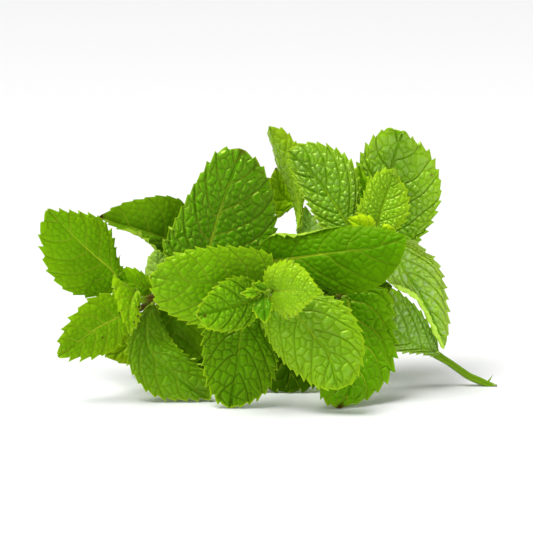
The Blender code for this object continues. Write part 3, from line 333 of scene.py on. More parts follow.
        Leaf("leaf_back_top_right", "top", "fresh", 8, 0.9, (0.6, 0.6), BEHIND,
             rib=((38.5, 4.5, 13), (42.5, 9.5, 22), (46.5, 18, 31), (49.5, 27, 36)), left=((46.5, 4.5, 20),
             (55, 13, 28), (56.5, 21.5, 34)), right=((35.5, 12, 22), (38.5, 22.5, 32), (44, 27.5, 36))),
        Leaf("leaf_back_top_middle", "main", "deep", 8, 0.9, (0.6, 0.6), BEHIND,
             rib=((25, -5.5, 12), (24.5, 1.5, 22), (24, 11, 31), (23.5, 21, 35)), left=((31.5, 1.5, 20),
             (33.5, 11, 30), (30, 19, 35)), right=((18.5, 1.5, 22), (18, 10.5, 32), (18.5, 19, 35))),
        Leaf("leaf_back_far_left", "main", "deep", 8, 0.9, (0.6, 0.6), BEHIND_PALER,
             rib=((-50.5, -8, 3), (-55.5, -4.5, 11.5), (-62.5, 1, 18.5), (-69.5, 7, 23)), left=((-54, 0, 9),
             (-58.5, 8, 16.5), (-65.5, 12, 22)), right=((-57, -9.5, 8), (-67.5, -7, 18), (-73.5, 0, 24))),
        Leaf("leaf_back_low_far_left", "main", "deep", 8, 0.9, (0.6, 0.6), BEHIND_PALER,
             rib=((-41.5, -15, 8), (-41.5, -20, 14), (-39.5, -29, 19), (-38, -37, 23), (-37.5, -38, 27.5)),
             left=((-34, -19.5, 15), (-29, -29, 20), (-31.5, -37, 25)), right=((-46.5, -21, 13),
             (-49, -29, 19), (-44, -37, 24.5))),
    ),
    "tips": (
        Leaf("tip_front_low", "shoot_tip_front", "young", 4, 0.6, (0.5, 0.5), Finish("tiny", 0.55, 0.48,
             rib=0.3, branch=0.1, rim=1.0, heart=0.6),
             rib=((-0.5, -9.5, -28), (-0.5, -14, -32), (-0.5, -20, -34)), left=((1, -11.5, -30),
             (2, -14, -32), (1, -18, -34)), right=((-3, -11.5, -29), (-5, -14, -31), (-3.5, -17.5, -33))),
        Leaf("tip_front_left", "shoot_tip_front", "young", 3, 0.5, (0.5, 0.5), Finish("tiny", 1.14, 0.76,
             rib=0.3, branch=0.1, rim=1.0, heart=0.2),
             rib=((-2.5, -9, -29), (-5.5, -9, -32), (-9, -9.5, -34)), left=((-4, -10.5, -31),
             (-6.5, -11, -33)), right=((-4.5, -7.5, -31), (-6.5, -7.5, -32.5))),
        Leaf("tip_front_upper", "shoot_tip_front", "young", 3, 0.5, (0.5, 0.5), Finish("tiny", 0.67, 0.55,
             rib=0.3, branch=0.1, rim=1.0, heart=0.3),
             rib=((0, -8.5, -28), (-2.5, -7.5, -30), (-5, -6, -31)), left=((-1.5, -9, -30), (-4, -8, -31)),
             right=((0, -6.5, -29), (-2.5, -5, -30))),
        Leaf("tip_top_left", "shoot_tip_top", "young", 3, 0.5, (0.5, 0.5), TOP_TIP,
             rib=((37.5, 12, -2.5), (33.5, 14, -3.5), (28, 17, -3)), left=((35, 11, -4), (30.5, 13.5, -4)),
             right=((38, 16.5, -3), (33.5, 18.5, -3))),
        Leaf("tip_top_right", "shoot_tip_top", "young", 3, 0.5, (0.5, 0.5), TOP_TIP,
             rib=((39.5, 11.5, -3), (42.5, 12.5, -5), (45.5, 13, -5)), left=((41, 15, -4), (43.5, 14.5, -5)),
             right=((41.5, 10, -6), (44, 10.5, -6))),
    ),
}

# Fine mesh of a leaf: cuts over each tooth, at the base and on the stalk, and rows on each half
RISE_CUTS = 7
FALL_CUTS = 3
BASE_CUTS = 9
STALK_CUTS = 8
FEWEST_ROWS = 10
MOST_ROWS = 46

# Teeth of the margin: how many for one of the solid, how round a tooth's back is, how sharp its
# point, how steep the side beyond it, how little of the blade follows it, how much teeth differ,
# and how soon they grow at the base and fade at the tip
TOOTH_SHARE = 1.35
TOOTH_BACK = 0.5
TOOTH_SPIKE = 3.5
TOOTH_FALL = 1.5
TOOTH_DEPTH = 5.0
TOOTH_SPREAD = 0.5
TEETH_GROW = 5
TEETH_FADE = 8

# Stalk: its start as a share of the stem's half width, its width there, its thickness in mm, the
# columns over which it fades into the blade, its bow and its length in the field "along"
STALK_ROOT = 0.55
STALK_ROOT_WIDTH = 1.25
STALK_THICKNESS = 1.0
STALK_FADE = 6.0
STALK_BOW = 0.9
STALK_ALONG = 0.2

# Thickness of a vein on the underside in mm, how far it spreads to each side, and how much it thins
# outwards and along the blade; how far from the margin it ends and how the blade thins there
RIB_SWELL = 0.75
RIB_SPREAD = 0.45
RIB_THINS = 0.7
BRANCH_SWELL = 0.22
BRANCH_SPREAD = 0.35
BRANCH_THINS = (0.55, 0.4)
SWELL_RIM = (0.3, 1.4)
THIN_RIM = 0.1
RIM_SLOPE = 1.2

# Side veins: how they slant and crowd, how much they waver and stand in turn, and the share of a
# blade's half over which each of the two sets in
LADDER_POWER = 1.2
VEIN_SLANT = 0.36
SLANT_BEND = 1.2
BRANCH_WANDER = 0.10
BRANCH_WANDER_STEPS = (9, 0.25)
BRANCH_STAGGER = 0.18
WANDER_START = 0.3
STAGGER_START = 0.1

# Net of small veins: spread of the cells' centres, how often their pattern starts again, cells
# looked at around a point, how much finer the second net is, smallest and largest cell in mm, one
# field for the whole fine net, and the distances in mm of a vein and a cell that aren't there
CELL_SHIFT = 0.32
NET_PERIOD = 64
CELLS_AROUND = (-2, -1, 0, 1, 2)
FINE_NET = 2.6
CELL_SIZES = (0.2, 6.0)
NO_FIELDS = 10 ** 6
NO_VEIN = 99.0
FAR = 1000.0

# Relief: reach of a dome as a share of its cell, its roundness, lowest dome and how much domes
# differ, dome of the fine net, where the blade gets lively, calm band at the margin in mm, bulge
# between side veins, and troughs over the midrib and the side veins with their widths in mm
DOME_REACH = 0.42
DOME_ROUND = 1.3
LOWEST_DOME = 0.7
DOME_SPREAD = 0.6
FINE_DOME = 0.12
LIVELY = (0.15, 0.65)
LIVELY_OUT = 0.8
LIVELY_ALONG = 0.5
CALM_RIM = 1.6
QUILT_ROUND = 0.8
QUILT_START = 0.25
RIB_TROUGH = 0.08
TROUGH_SHARE = 0.4
TROUGH_WIDTH = 0.6
BRANCH_TROUGH = 0.2
BRANCH_TROUGH_WIDTH = 0.3

# Wavering: layers, waves in each, how much finer and weaker a layer is than the last, what the
# waves add up to, and the waves of a margin along and across
OCTAVES = 3
WAVES = 3
WAVES_FINER = 1.7
WAVES_WEAKER = 1.5
WAVES_SUM = 3.5
WAVE_STEPS = (11, 1.5)

# Added to a leaf's own seed for its net, its fine net, its waves and its fold
NET_SEED = 1
FINE_NET_SEED = 2
WAVE_SEED = 3
ROLL_SEED = 5

# Folded margins: widest band that folds and the radius of its bend in mm, how far the folded
# strip reaches beyond the bend in mm, how unevenly it does and how softly the fold starts; length
# of a curled tip in mm; where a brown tip starts, and how much of a spot is brown throughout
ROLL_BAND = 2.0
ROLL_SHARE = 0.6
ROLL_RADIUS = 0.35
ROLL_STRIP = 1.3
ROLL_WANDER = 0.35
ROLL_WANDER_STEPS = 22
ROLL_SOFTNESS = 0.08
ROLL_MOST = 1.2
CURL_LENGTH = 3.0
BROWN_TIP = (0.955, 0.985)
SPOT_CORE = 0.5

# A blade that reaches the table lies on it
FLOOR_GAP = 0.02

# Smallest numbers that are still divided by
TINY = 1e-9
SAME_PLACE = 1e-6
LEAST_AREA = 1e-3
HALF_PI = math.pi / 2

# Buds: which shoot each node ends, sizes in mm, how drawn out the point is and how fine the mesh
TIPS = {"shoot_tip_front": "front", "shoot_tip_top": "top"}
BUD_LENGTH = 2.6
BUD_WIDTH = 2.1
BUD_POINT = 0.9
BUD_FINENESS = 4

# Fine mesh of the stem: its sides, corners and grooves, its rings, the way their tops face and the
# steps of its axis that give their turn, its swollen nodes, its slanting cut, the torn sliver there
# and the stump at the left
STEM_SIDES = 32
STEM_SQUARENESS = 0.08
STEM_GROOVE = 0.10
STEM_GROOVE_POWER = 3
TRUNK_RINGS = 116
SHOOT_RINGS = 60
RING_TOP = np.array([0.0, -0.3, 1.0])
RUN_STEPS = 2
NODE_SWELL = 0.22
OLD_NODE_SWELL = 1.2
NODE_REACH = 2.5
STEM_CUT = ((78.5, -39.5, 7.0), (80.5, -42.0, 7.0))
CUT_REACH = 2.7
STEM_SLIVER = ((77.4, -40.6, 7.0), (79.4, -37.7, 7.0))
SLIVER_WIDTH = 0.9
STEM_STUMP = ((-38.5, -10.7, -1.0), (-44.5, -15.0, 1.0))
STUMP_WIDTH = 2.6
STUMP_TAPER = 0.75
SPIKE_SIDES = 16

# Distance between a leaf's two sides before they are laid, and the angle of a sharp edge in degrees
PLATE = 0.1
SHARP_ANGLE = 55.0

# Noise of the finishes, per metre
MOTTLE_SCALE = 60.0
RIM_NOISE = 250.0
SHEEN_SCALE = 350.0
SKIN_SCALE = 2500.0
FLUSH_SCALE = 180.0
NOISE_DETAIL = 3.0

# Colour of a blade: a shade multiplies the leaf's green; starts, lengths and ends are shares of
# the blade, from its base to its tip or from its midrib to its margin
LEAF_MOTTLE = (0.35, 0.65)
LEAF_SHADES = (0.84, 1.14)
CELL_SHARE = 0.35
CELL_SHADE = 1.35
EDGE_START = 0.35
EDGE_WARMTH = 0.45
EDGE_SHADES = (1.7, 1.3, 1.0)
# Painted shade over a blade's base, where other leaves shadow it: how far along it reaches, where it starts
# to fade outwards, what is left of it at the margin, and how dark it makes the green
PAINTED_SHADE_LENGTH = 0.6
PAINTED_SHADE_START = 0.5
PAINTED_SHADE_RIM = 0.2
PAINTED_SHADE_DEPTH = 0.4
# Painted sheen on the tops of the domes, standing in for reflected light: where on a dome it shows, its
# mottle, and the least of it
SHEEN_DOME = (0.2, 0.95)
SHEEN_MOTTLE = (0.38, 0.65)
SHEEN_LEAST = 0.1
GROOVE_PAINTED_SHADE = 0.38
UNDER_NET_SHADE = 0.75
LEAST_FLUSH = 0.01
MOST_FLUSH = 0.8
FLUSH_DEPTH = 6

# Veins: widths in mm, how much they taper, how wide their even core is, and where they fade
NET_START = 0.02
NET_WIDTH = 0.38
LINE_WIDTH = 0.15
LINE_SHARE = 0.5
GROOVE_START = 0.05
GROOVE_WIDTH = 0.40
BRANCH_WIDTH = 0.32
BRANCH_SPAN = (0.1, 0.9)
BRANCH_TAPER = 0.4
BRANCH_CORE = 0.4
BRANCH_FADE = 0.55
BRANCH_LEAST = 0.1
RIM_START = 0.12
RIM_WIDTH = 0.25
RIM_UNEVEN = 0.5
RIB_WIDTH = 0.50
RIB_TAPER = 0.4
RIB_CORE = 0.5
RIB_FADE = 0.4
RIB_LEAST = 0.15

# Gloss and depth of the skin: roughness, reflection, light under the skin in mm, a fine bump as
# its strength and its height in metres, the share of the fine domes in it, and a bud's dark shade
MATT = 0.5
UNDER_MATT = 0.1
GLOSS_DOME = 0.8
SPECULAR = 0.5
SPECULAR_WARM = (0.9, 1.0)
SPECULAR_BLUE = 0.08
SUBSURFACE = 0.12
SUBSURFACE_RADIUS = (0.5, 1.0, 0.1)
LEAF_DEPTH = 0.6
STEM_DEPTH = 0.8
LEAF_SKIN = (0.35, 0.06 * MM)
STEM_SKIN = (0.3, 0.05 * MM)
BUD_SKIN = (0.4, 0.08 * MM)
FINE_DOME_SHARE = 0.5
BUD_SHADE = 0.6

# Colour of the stem: shades, painted shade in its grooves as shares of its half width, flush and cut in mm
STEM_MOTTLE = (0.3, 0.7)
STEM_SHADES = (0.8, 1.15)
STEM_GROOVE_PAINTED_SHADE = 0.55
STEM_GROOVE_SHARE = 0.5
STEM_ROUGHNESS = 0.42
STEM_SPECULAR = (0.9, 1.0, 0.2, 1.0)
GROOVE_DEPTHS = (0.9, 1.02)
FLUSH_MOTTLE = (0.1, 0.45)
FLUSH_REACH = (1.5, 4.5)
CUT_DEPTH = (0.05, 0.3)

# Stage, in metres
FLOOR_COLOUR = (0.90, 0.90, 0.90, 1.0)
FLOOR_ROUGHNESS = 0.35
FLOOR_SPECULAR = 0.35
FLOOR_DROP = 0.0002
SURROUND_COLOUR = (1.0, 1.0, 1.0, 1.0)
OVERHEAD_PLACE = (-0.42, -0.08, 1.20)
OVERHEAD_SPREAD = math.radians(34.0)
FRONT_PLACE = (-0.9, -1.1, 0.55)
FRONT_SIZE = 0.8
SIDE_PLACE = (1.0, -0.55, 0.45)
SIDE_SIZE = 0.8
SENSOR_WIDTH = 36.0
NEAREST_SEEN = 0.01


def every_leaf():
    """All leaves of the layout, group by group."""
    return [leaf for group in LEAVES.values() for leaf in group]


def seen(place):
    """Layout place (across, up, back) to x, y, z in millimetres."""
    across, up, back = place
    ahead = np.array([0.0, math.cos(EYE_TILT), -math.sin(EYE_TILT)])
    above = np.array([0.0, math.sin(EYE_TILT), math.cos(EYE_TILT)])
    eye = np.array([0.0, 0.0, EYE_AIM_HEIGHT]) - EYE_REACH * ahead
    ray = EYE_REACH * ahead + above * up
    ray[0] = across
    point = eye + ray * (back - eye[1]) / ray[1]
    return point - np.array([CENTRE_ACROSS, CENTRE_BACK, 0.0])


def unit(vectors):
    """Vectors of length one along the last axis."""
    return vectors / np.maximum(np.linalg.norm(vectors, axis=-1, keepdims=True), TINY)


def smoothstep(low, high, value):
    """0 below low, 1 above high, and a soft rise between."""
    share = np.clip((value - low) / (high - low), 0.0, 1.0)
    return share * share * (3.0 - 2.0 * share)


def bell(value, width):
    """1 at zero, falling softly to nothing beyond about twice the width."""
    return np.exp(-(value / width) ** 2)


def smooth_curve(points):
    """Even steps along the Catmull-Rom curve through the points, and its length."""
    points = [np.asarray(p, float) for p in points]
    ends = [2 * points[0] - points[1]] + points + [2 * points[-1] - points[-2]]
    run = []
    for a, b, c, d in zip(ends, ends[1:], ends[2:], ends[3:]):
        t = np.linspace(0.0, 1.0, SPAN_STEPS)[:, None]
        run.append(0.5 * (2 * b + (c - a) * t + (2 * a - 5 * b + 4 * c - d) * t ** 2
                          + (3 * b - a - 3 * c + d) * t ** 3))
    run = np.concatenate(run)
    length = np.concatenate([[0.0], np.cumsum(np.linalg.norm(np.diff(run, axis=0), axis=1))])
    even = np.linspace(0.0, length[-1], CURVE_STEPS + 1)
    return np.stack([np.interp(even, length, run[:, k]) for k in range(3)], -1), length[-1]


def sample(curve, at):
    """Value of an evenly stepped curve at 0..1."""
    at = np.clip(at, 0.0, 1.0) * (len(curve) - 1)
    low = np.minimum(at.astype(int), len(curve) - 2)
    part = at - low
    if curve.ndim == 2:
        part = part[..., None]
    return curve[low] * (1 - part) + curve[low + 1] * part


def shoot_axis(name):
    """The curve along the middle of a shoot, and its half width along it."""
    shoot = SHOOTS[name]
    axis, _ = smooth_curve([seen(place) for place in shoot.route])
    half = np.linspace(shoot.root_width, shoot.tip_width, len(axis)) / 2
    return axis, half


def bud_place(name):
    """Middle of the bud at a shoot's end, and the way it points."""
    axis, _ = shoot_axis(name)
    run = unit(axis[-1] - axis[-3])
    return axis[-1] + run * BUD_LENGTH / 2, run


def wander(x, y, seed):
    """Smooth wavering between about -1 and 1 over a plane, the same on every run."""
    draw = np.random.default_rng(seed)
    total = np.zeros_like(x)
    for octave in range(OCTAVES):
        for _ in range(WAVES):
            angle = draw.uniform(0, math.tau)
            phase = draw.uniform(0, math.tau)
            turn = x * math.cos(angle) + y * math.sin(angle)
            total += np.sin(turn * WAVES_FINER ** octave + phase) / WAVES_WEAKER ** octave
    return total / WAVES_SUM


def net_of_cells(x, y, step_x, step_y, columns, seed):
    """Distance in mm to the nearest wall of an uneven net, and each cell's own number 0..1.

    x and y count cells; step_x and step_y are the steps in mm that one cell takes there.
    Cells stay between two side veins, which stand at whole multiples of columns.
    """
    draw = np.random.default_rng(seed)
    shift = draw.uniform(-CELL_SHIFT, CELL_SHIFT, (NET_PERIOD, NET_PERIOD, 2))
    number = draw.uniform(0, 1, (NET_PERIOD, NET_PERIOD))
    column, row = np.floor(x).astype(int), np.floor(y).astype(int)
    field = column // columns
    places, numbers, allowed = [], [], []
    for dx in CELLS_AROUND:
        for dy in CELLS_AROUND:
            i, j = column + dx, row + dy
            moved = shift[i % NET_PERIOD, j % NET_PERIOD]
            away_x = (i + 0.5 + moved[..., 0] - x)[..., None]
            away_y = (j + 0.5 + moved[..., 1] - y)[..., None]
            places.append(away_x * step_x + away_y * step_y)
            numbers.append(number[i % NET_PERIOD, j % NET_PERIOD])
            allowed.append((i // columns == field) & (j >= 0))
    places, numbers, allowed = np.array(places), np.array(numbers), np.array(allowed)
    away = np.where(allowed, (places ** 2).sum(-1), FAR ** 2)
    nearest = away.argmin(0)[None]
    own_place = np.take_along_axis(places, nearest[..., None], 0)
    own_away = np.take_along_axis(away, nearest, 0)
    apart = np.linalg.norm(places - own_place, axis=-1)
    others = allowed & (apart > SAME_PLACE)
    wall = np.where(others, (away - own_away) / (2 * np.maximum(apart, SAME_PLACE)), NO_VEIN)
    return wall.min(0), np.take_along_axis(numbers, nearest, 0)[0]


class Blade:
    """The surface of one leaf, from its place on the stem to its tip."""

    def __init__(self, leaf):
        self.leaf = leaf
        self.teeth = round(TOOTH_SHARE * leaf.teeth)
        self.finish = leaf.finish
        self.look = LOOKS[self.finish.look]
        self.seed = sum(ord(letter) * place for place, letter in enumerate(leaf.name, 1))
        rib = [seen(place) for place in leaf.rib]
        if leaf.stem in TIPS:
            start, _ = bud_place(TIPS[leaf.stem])
        else:
            axis, half = shoot_axis(leaf.stem)
            nearest = np.linalg.norm(axis - rib[0], axis=1).argmin()
            start = axis[nearest] + unit(rib[0] - axis[nearest]) * half[nearest] * STALK_ROOT
        self.curve, length = smooth_curve([start] + rib)
        self.neck = np.linalg.norm(rib[0] - start) / length
        base = self.rib(np.array(0.0))
        self.margins, self.beside = [], []
        stations = np.linspace(0.0, 1.0, RIB_STATIONS)
        along = self.rib(stations)
        for side in (leaf.left, leaf.right):
            margin, _ = smooth_curve([base] + [seen(p) for p in side] + [rib[-1]])
            apart = np.linalg.norm(margin[:, None] - along[None], axis=2)
            beside = np.maximum.accumulate(stations[apart.argmin(axis=1)])
            beside[0], beside[-1] = 0.0, 1.0
            window = np.hanning(SMOOTHING) / np.hanning(SMOOTHING).sum()
            beside = np.convolve(np.pad(beside, SMOOTHING // 2, mode="edge"), window, "valid")
            self.margins.append(margin)
            self.beside.append(beside)
        self.half_width = [np.linalg.norm(m - self.rib(b), axis=1).max()
                           for m, b in zip(self.margins, self.beside)]
        draw = np.random.default_rng(self.seed)
        spread = draw.uniform(1 - TOOTH_SPREAD, 1 + TOOTH_SPREAD, (2, self.teeth))
        self.bite = spread * np.array(self.finish.bite)[:, None]

    def rib(self, at):
        """Point on the midrib, 0 at the blade's base and 1 at its tip."""
        return sample(self.curve, self.neck + at * (1 - self.neck))

    def rib_run(self, at):
        """Direction of the midrib."""
        return unit(self.rib(np.clip(at + RIB_STEP, 0, 1)) - self.rib(np.clip(at - RIB_STEP, 0, 1)))

    def saw(self, at, k):
        """Height of the toothed edge: each tooth has a round back and a point at its far end."""
        step = np.clip((at - FIRST_TOOTH) / (1 - FIRST_TOOTH), 0, 1) * self.teeth
        step = np.where(at >= 1, 0, step)
        tooth = step.astype(int)
        step = step - tooth
        rise = np.minimum(step / TOOTH_RISE, 1)
        rise = TOOTH_BACK * np.sin(HALF_PI * rise) + (1 - TOOTH_BACK) * rise ** TOOTH_SPIKE
        fall = (1 - np.clip((step - TOOTH_RISE) / (1 - TOOTH_RISE), 0, 1)) ** TOOTH_FALL
        height = np.where(step < TOOTH_RISE, rise, fall) - TOOTH_OUTSIDE
        height = np.where(at < FIRST_TOOTH, -TOOTH_OUTSIDE, height) * self.bite[k][tooth]
        at_base = np.clip((at - FIRST_TOOTH) * TEETH_GROW + SMALL_TOOTH, 0, 1)
        at_tip = np.clip((1 - at) * TEETH_FADE + SMALL_TOOTH, 0, 1)
        return height * at_base * at_tip

    def half(self, at, across, k):
        """Points of one half, how far in mm its margin is from the midrib, and the teeth's part."""
        sign = 1 if k == 0 else -1
        margin = sample(self.margins[k], at)
        run = unit(sample(self.margins[k], at + EDGE_STEP) - sample(self.margins[k], at - EDGE_STEP))
        beside = sample(self.beside[k], at)
        root = self.rib(beside)
        forward = self.rib_run(beside)
        middle = self.margins[k][CURVE_STEPS // 2] - self.rib(self.beside[k][CURVE_STEPS // 2])
        broad = unit(middle - (forward @ middle)[..., None] * forward)
        side = margin - root
        reach = np.linalg.norm(side, axis=-1)[..., None]
        least = (PETIOLE_WIDTH * (1 - at) + TIP_WIDTH * at)[..., None] / 2
        normal = unit(np.cross(forward, np.where(reach > least, side, broad)) * sign)
        out = unit(np.cross(normal, run) * sign)
        tooth = (out + TOOTH_LEAN * run) * (TOOTH_HEIGHT * self.leaf.tooth * self.saw(at, k))[..., None]
        tooth = tooth * across[..., None] ** TOOTH_DEPTH
        side = side + broad * np.maximum(0, least - reach)
        foot = at ** VEIN_FOOT * (1 - across ** VEIN_SWEEP) + beside * across ** VEIN_SWEEP
        breadth = np.clip(reach[..., 0] / self.half_width[k], 0, 1)
        arch = 4 * self.leaf.arch[k] * across * (1 - across) * breadth
        points = self.rib(foot) + side * across[..., None] + normal * arch[..., None]
        return points + tooth, np.maximum(reach, least)[..., 0], tooth

    def columns(self):
        """Cuts along the margin: close together over each tooth, its point and its notch among them."""
        rise = np.linspace(0, TOOTH_RISE, RISE_CUTS, endpoint=False)
        fall = np.linspace(TOOTH_RISE, 1, FALL_CUTS, endpoint=False)
        within = np.concatenate([rise, fall])
        steps = (np.arange(self.teeth)[:, None] + within[None]).ravel() / self.teeth
        base = np.linspace(0, FIRST_TOOTH, BASE_CUTS, endpoint=False)
        return np.concatenate([base, FIRST_TOOTH + (1 - FIRST_TOOTH) * steps, [1.0]])

    def rows(self):
        """Rows from the right margin over the midrib to the left one, -1 to 1."""
        count = int(np.clip(max(self.half_width) / self.look.step, FEWEST_ROWS, MOST_ROWS))
        return np.linspace(-1, 1, 2 * count + 1)

    def facing(self, points):
        """Direction that the upper side faces at each point."""
        along = np.gradient(points, axis=0)
        over = np.gradient(points, axis=1)
        return unit(np.cross(along, over))

    def surface(self):
        """Upper and lower points of leaf and stalk in mm, and the fields that colour them."""
        at, across = np.meshgrid(self.columns(), self.rows(), indexing="ij")
        points, tooth, reach = np.zeros(at.shape + (3,)), np.zeros(at.shape + (3,)), np.zeros(at.shape)
        for k, here in ((0, across >= 0), (1, across < 0)):
            points[here], reach[here], tooth[here] = self.half(at[here], np.abs(across[here]), k)
        field = self.veins(at, across, reach, points)
        field["brown"] = self.brown(at, across, points)
        points = self.curled(self.rolled(points, tooth, at, across, reach))
        points = points + self.facing(points) * field.pop("height")[..., None]
        points, field = self.with_stalk(points, field)
        lower = points - self.facing(points) * field.pop("thick")[..., None]
        lower[..., 2] = np.maximum(lower[..., 2], FLOOR_GAP)
        points[..., 2] = np.maximum(points[..., 2], FLOOR_GAP * 2)
        return points, lower, field

    def rolled(self, points, tooth, at, across, reach):
        """The blade with the bands along its margins folded over, teeth and all."""
        start, end = self.finish.rolled
        angle = np.where(across >= 0, *self.finish.roll)
        share = (smoothstep(start - ROLL_SOFTNESS, start + ROLL_SOFTNESS, at)
                 * smoothstep(end + ROLL_SOFTNESS, end - ROLL_SOFTNESS, at))
        uneven = 1 + ROLL_WANDER * wander(at * ROLL_WANDER_STEPS, 0 * at, self.seed + ROLL_SEED)
        share = np.clip(share * uneven, 0, ROLL_MOST)
        facing = self.facing(points - tooth)
        out = unit(np.gradient(points - tooth, axis=1)) * np.sign(across)[..., None]
        band = np.minimum(ROLL_BAND, ROLL_SHARE * reach)
        past = np.clip(band - (1 - np.abs(across)) * reach, 0, None)
        jut = (tooth * out).sum(-1)
        flat = band - ROLL_RADIUS
        bent = ROLL_RADIUS * angle
        way = (flat + bent + ROLL_STRIP * share) * past / band + jut * past / band
        turn = np.clip((way - flat) / ROLL_RADIUS, 0, angle)
        beyond = np.clip(way - flat - bent, 0, None)
        ahead = np.minimum(way, flat) + ROLL_RADIUS * np.sin(turn) + beyond * np.cos(angle)
        above = ROLL_RADIUS * (1 - np.cos(turn)) + beyond * np.sin(angle)
        folded = out * (ahead - past - jut)[..., None] + facing * above[..., None]
        return points + folded * (np.minimum(share, 1) * (angle > 0))[..., None]

    def curled(self, points):
        """The blade with its tip bent over towards the upper side."""
        if not self.finish.curl:
            return points
        run = self.rib_run(np.array(1.0))
        hinge = self.rib(np.array(1.0)) - run * CURL_LENGTH
        middle = points.shape[1] // 2
        facing = self.facing(points)[np.linalg.norm(points[:, middle] - hinge, axis=1).argmin(), middle]
        past = np.clip((points - hinge) @ run, 0, None)[..., None]
        radius = CURL_LENGTH / self.finish.curl
        turned = run * radius * np.sin(past / radius) + facing * radius * (1 - np.cos(past / radius))
        return points + turned - run * past

    def veins(self, at, across, reach, points):
        """Relief of the upper side and the fields that colour it, from the net of veins."""
        look = self.look
        out = np.abs(across)
        left = across > 0
        away = out * reach
        slant = VEIN_SLANT * np.where(left, *self.finish.slant) * out ** SLANT_BEND
        start = (at - slant) / (1 - slant)
        steps = look.veins * np.sign(start) * np.abs(start) ** LADDER_POWER + self.finish.offset
        uneven = wander(at * BRANCH_WANDER_STEPS[0], away * BRANCH_WANDER_STEPS[1], self.seed)
        steps = steps + BRANCH_WANDER * uneven * smoothstep(0, WANDER_START, out)
        steps = steps + BRANCH_STAGGER * np.where(left, 1, -1) * smoothstep(0, STAGGER_START, out)
        d_at, d_across = np.gradient(at, axis=0), np.gradient(across, axis=1)
        along = np.gradient(points, axis=0) / d_at[..., None]
        over = np.gradient(points, axis=1) / d_across[..., None]
        x, y = steps * look.split, away / look.cell
        x_at, x_over = np.gradient(x, axis=0) / d_at, np.gradient(x, axis=1) / d_across
        y_at, y_over = np.gradient(y, axis=0) / d_at, np.gradient(y, axis=1) / d_across
        area = x_at * y_over - x_over * y_at
        area = np.where(np.abs(area) < LEAST_AREA, LEAST_AREA, area)[..., None]
        step_x = (along * y_over[..., None] - over * y_at[..., None]) / area
        step_y = (over * x_at[..., None] - along * x_over[..., None]) / area
        size_x = np.linalg.norm(step_x, axis=-1, keepdims=True)
        size_y = np.linalg.norm(step_y, axis=-1, keepdims=True)
        step_x = step_x * np.clip(size_x, *CELL_SIZES) / np.maximum(size_x, SAME_PLACE)
        step_y = step_y * np.clip(size_y, *CELL_SIZES) / np.maximum(size_y, SAME_PLACE)
        square = np.linalg.norm(np.cross(step_x, step_y), axis=-1)
        spacing = look.split * square / np.clip(size_y[..., 0], *CELL_SIZES)
        off_branch = np.abs((steps + 0.5) % 1.0 - 0.5) * spacing
        wall, number = net_of_cells(x, y, step_x, step_y, look.split, self.seed + NET_SEED)
        fine_wall, _ = net_of_cells(x * FINE_NET, y * FINE_NET, step_x / FINE_NET, step_y / FINE_NET,
                                    NO_FIELDS, self.seed + FINE_NET_SEED)
        net = np.minimum(np.minimum(wall, off_branch), away)
        rim = (1 - out) * reach
        dome_reach = look.cell * DOME_REACH
        dome = np.sin(HALF_PI * np.clip(net / dome_reach, 0, 1)) ** DOME_ROUND
        fine = 1 - (1 - np.clip(fine_wall / (dome_reach / FINE_NET), 0, 1)) ** 2
        lively = smoothstep(*LIVELY, out * LIVELY_OUT + at * LIVELY_ALONG)
        calm_middle = look.calm + (1 - look.calm) * lively
        calm_edge = smoothstep(0.0, CALM_RIM, rim)
        quilt = np.sin(np.pi * (steps % 1.0)) ** QUILT_ROUND
        domes = dome * (LOWEST_DOME + DOME_SPREAD * number) - 0.5
        height = look.pucker * domes * calm_middle * calm_edge
        height += look.pucker * FINE_DOME * fine * calm_edge
        height += look.quilt * (quilt - 0.5) * smoothstep(0, QUILT_START, out) * calm_edge
        trough = RIB_TROUGH + look.pucker * TROUGH_SHARE
        branch_trough = look.pucker * BRANCH_TROUGH * bell(off_branch, BRANCH_TROUGH_WIDTH)
        height -= trough * bell(away, TROUGH_WIDTH) + branch_trough * calm_edge
        waves = wander(at * WAVE_STEPS[0], across * WAVE_STEPS[1], self.seed + WAVE_SEED)
        height += look.wave * waves * out ** 2
        branch_size = (1 - BRANCH_THINS[0] * out) * (1 - BRANCH_THINS[1] * at)
        swell = BRANCH_SWELL * bell(off_branch, BRANCH_SPREAD) * branch_size
        thick = BLADE_THICKNESS + RIB_SWELL * bell(away, RIB_SPREAD) * (1 - RIB_THINS * at)
        thick = thick + swell * smoothstep(*SWELL_RIM, rim)
        thick = np.minimum(thick, BLADE_THICKNESS + RIM_SLOPE * np.maximum(rim - THIN_RIM, 0))
        return {"height": height, "thick": thick, "from_rib": away, "ladder": steps,
                "spacing": spacing, "from_wall": wall, "from_margin": rim, "dome": dome * calm_edge,
                "fine_dome": fine, "number": number, "along": at, "outward": out}

    def brown(self, at, across, points):
        """How brown each point is: the dried tip and the spots."""
        brown = self.finish.tip * smoothstep(*BROWN_TIP, at)
        for spot_at, spot_across, radius in self.finish.spots:
            column = np.abs(at[:, 0] - spot_at).argmin()
            row = np.abs(across[0] - spot_across).argmin()
            apart = np.linalg.norm(points - points[column, row], axis=-1)
            brown = np.maximum(brown, 1 - smoothstep(radius * SPOT_CORE, radius, apart))
        return brown

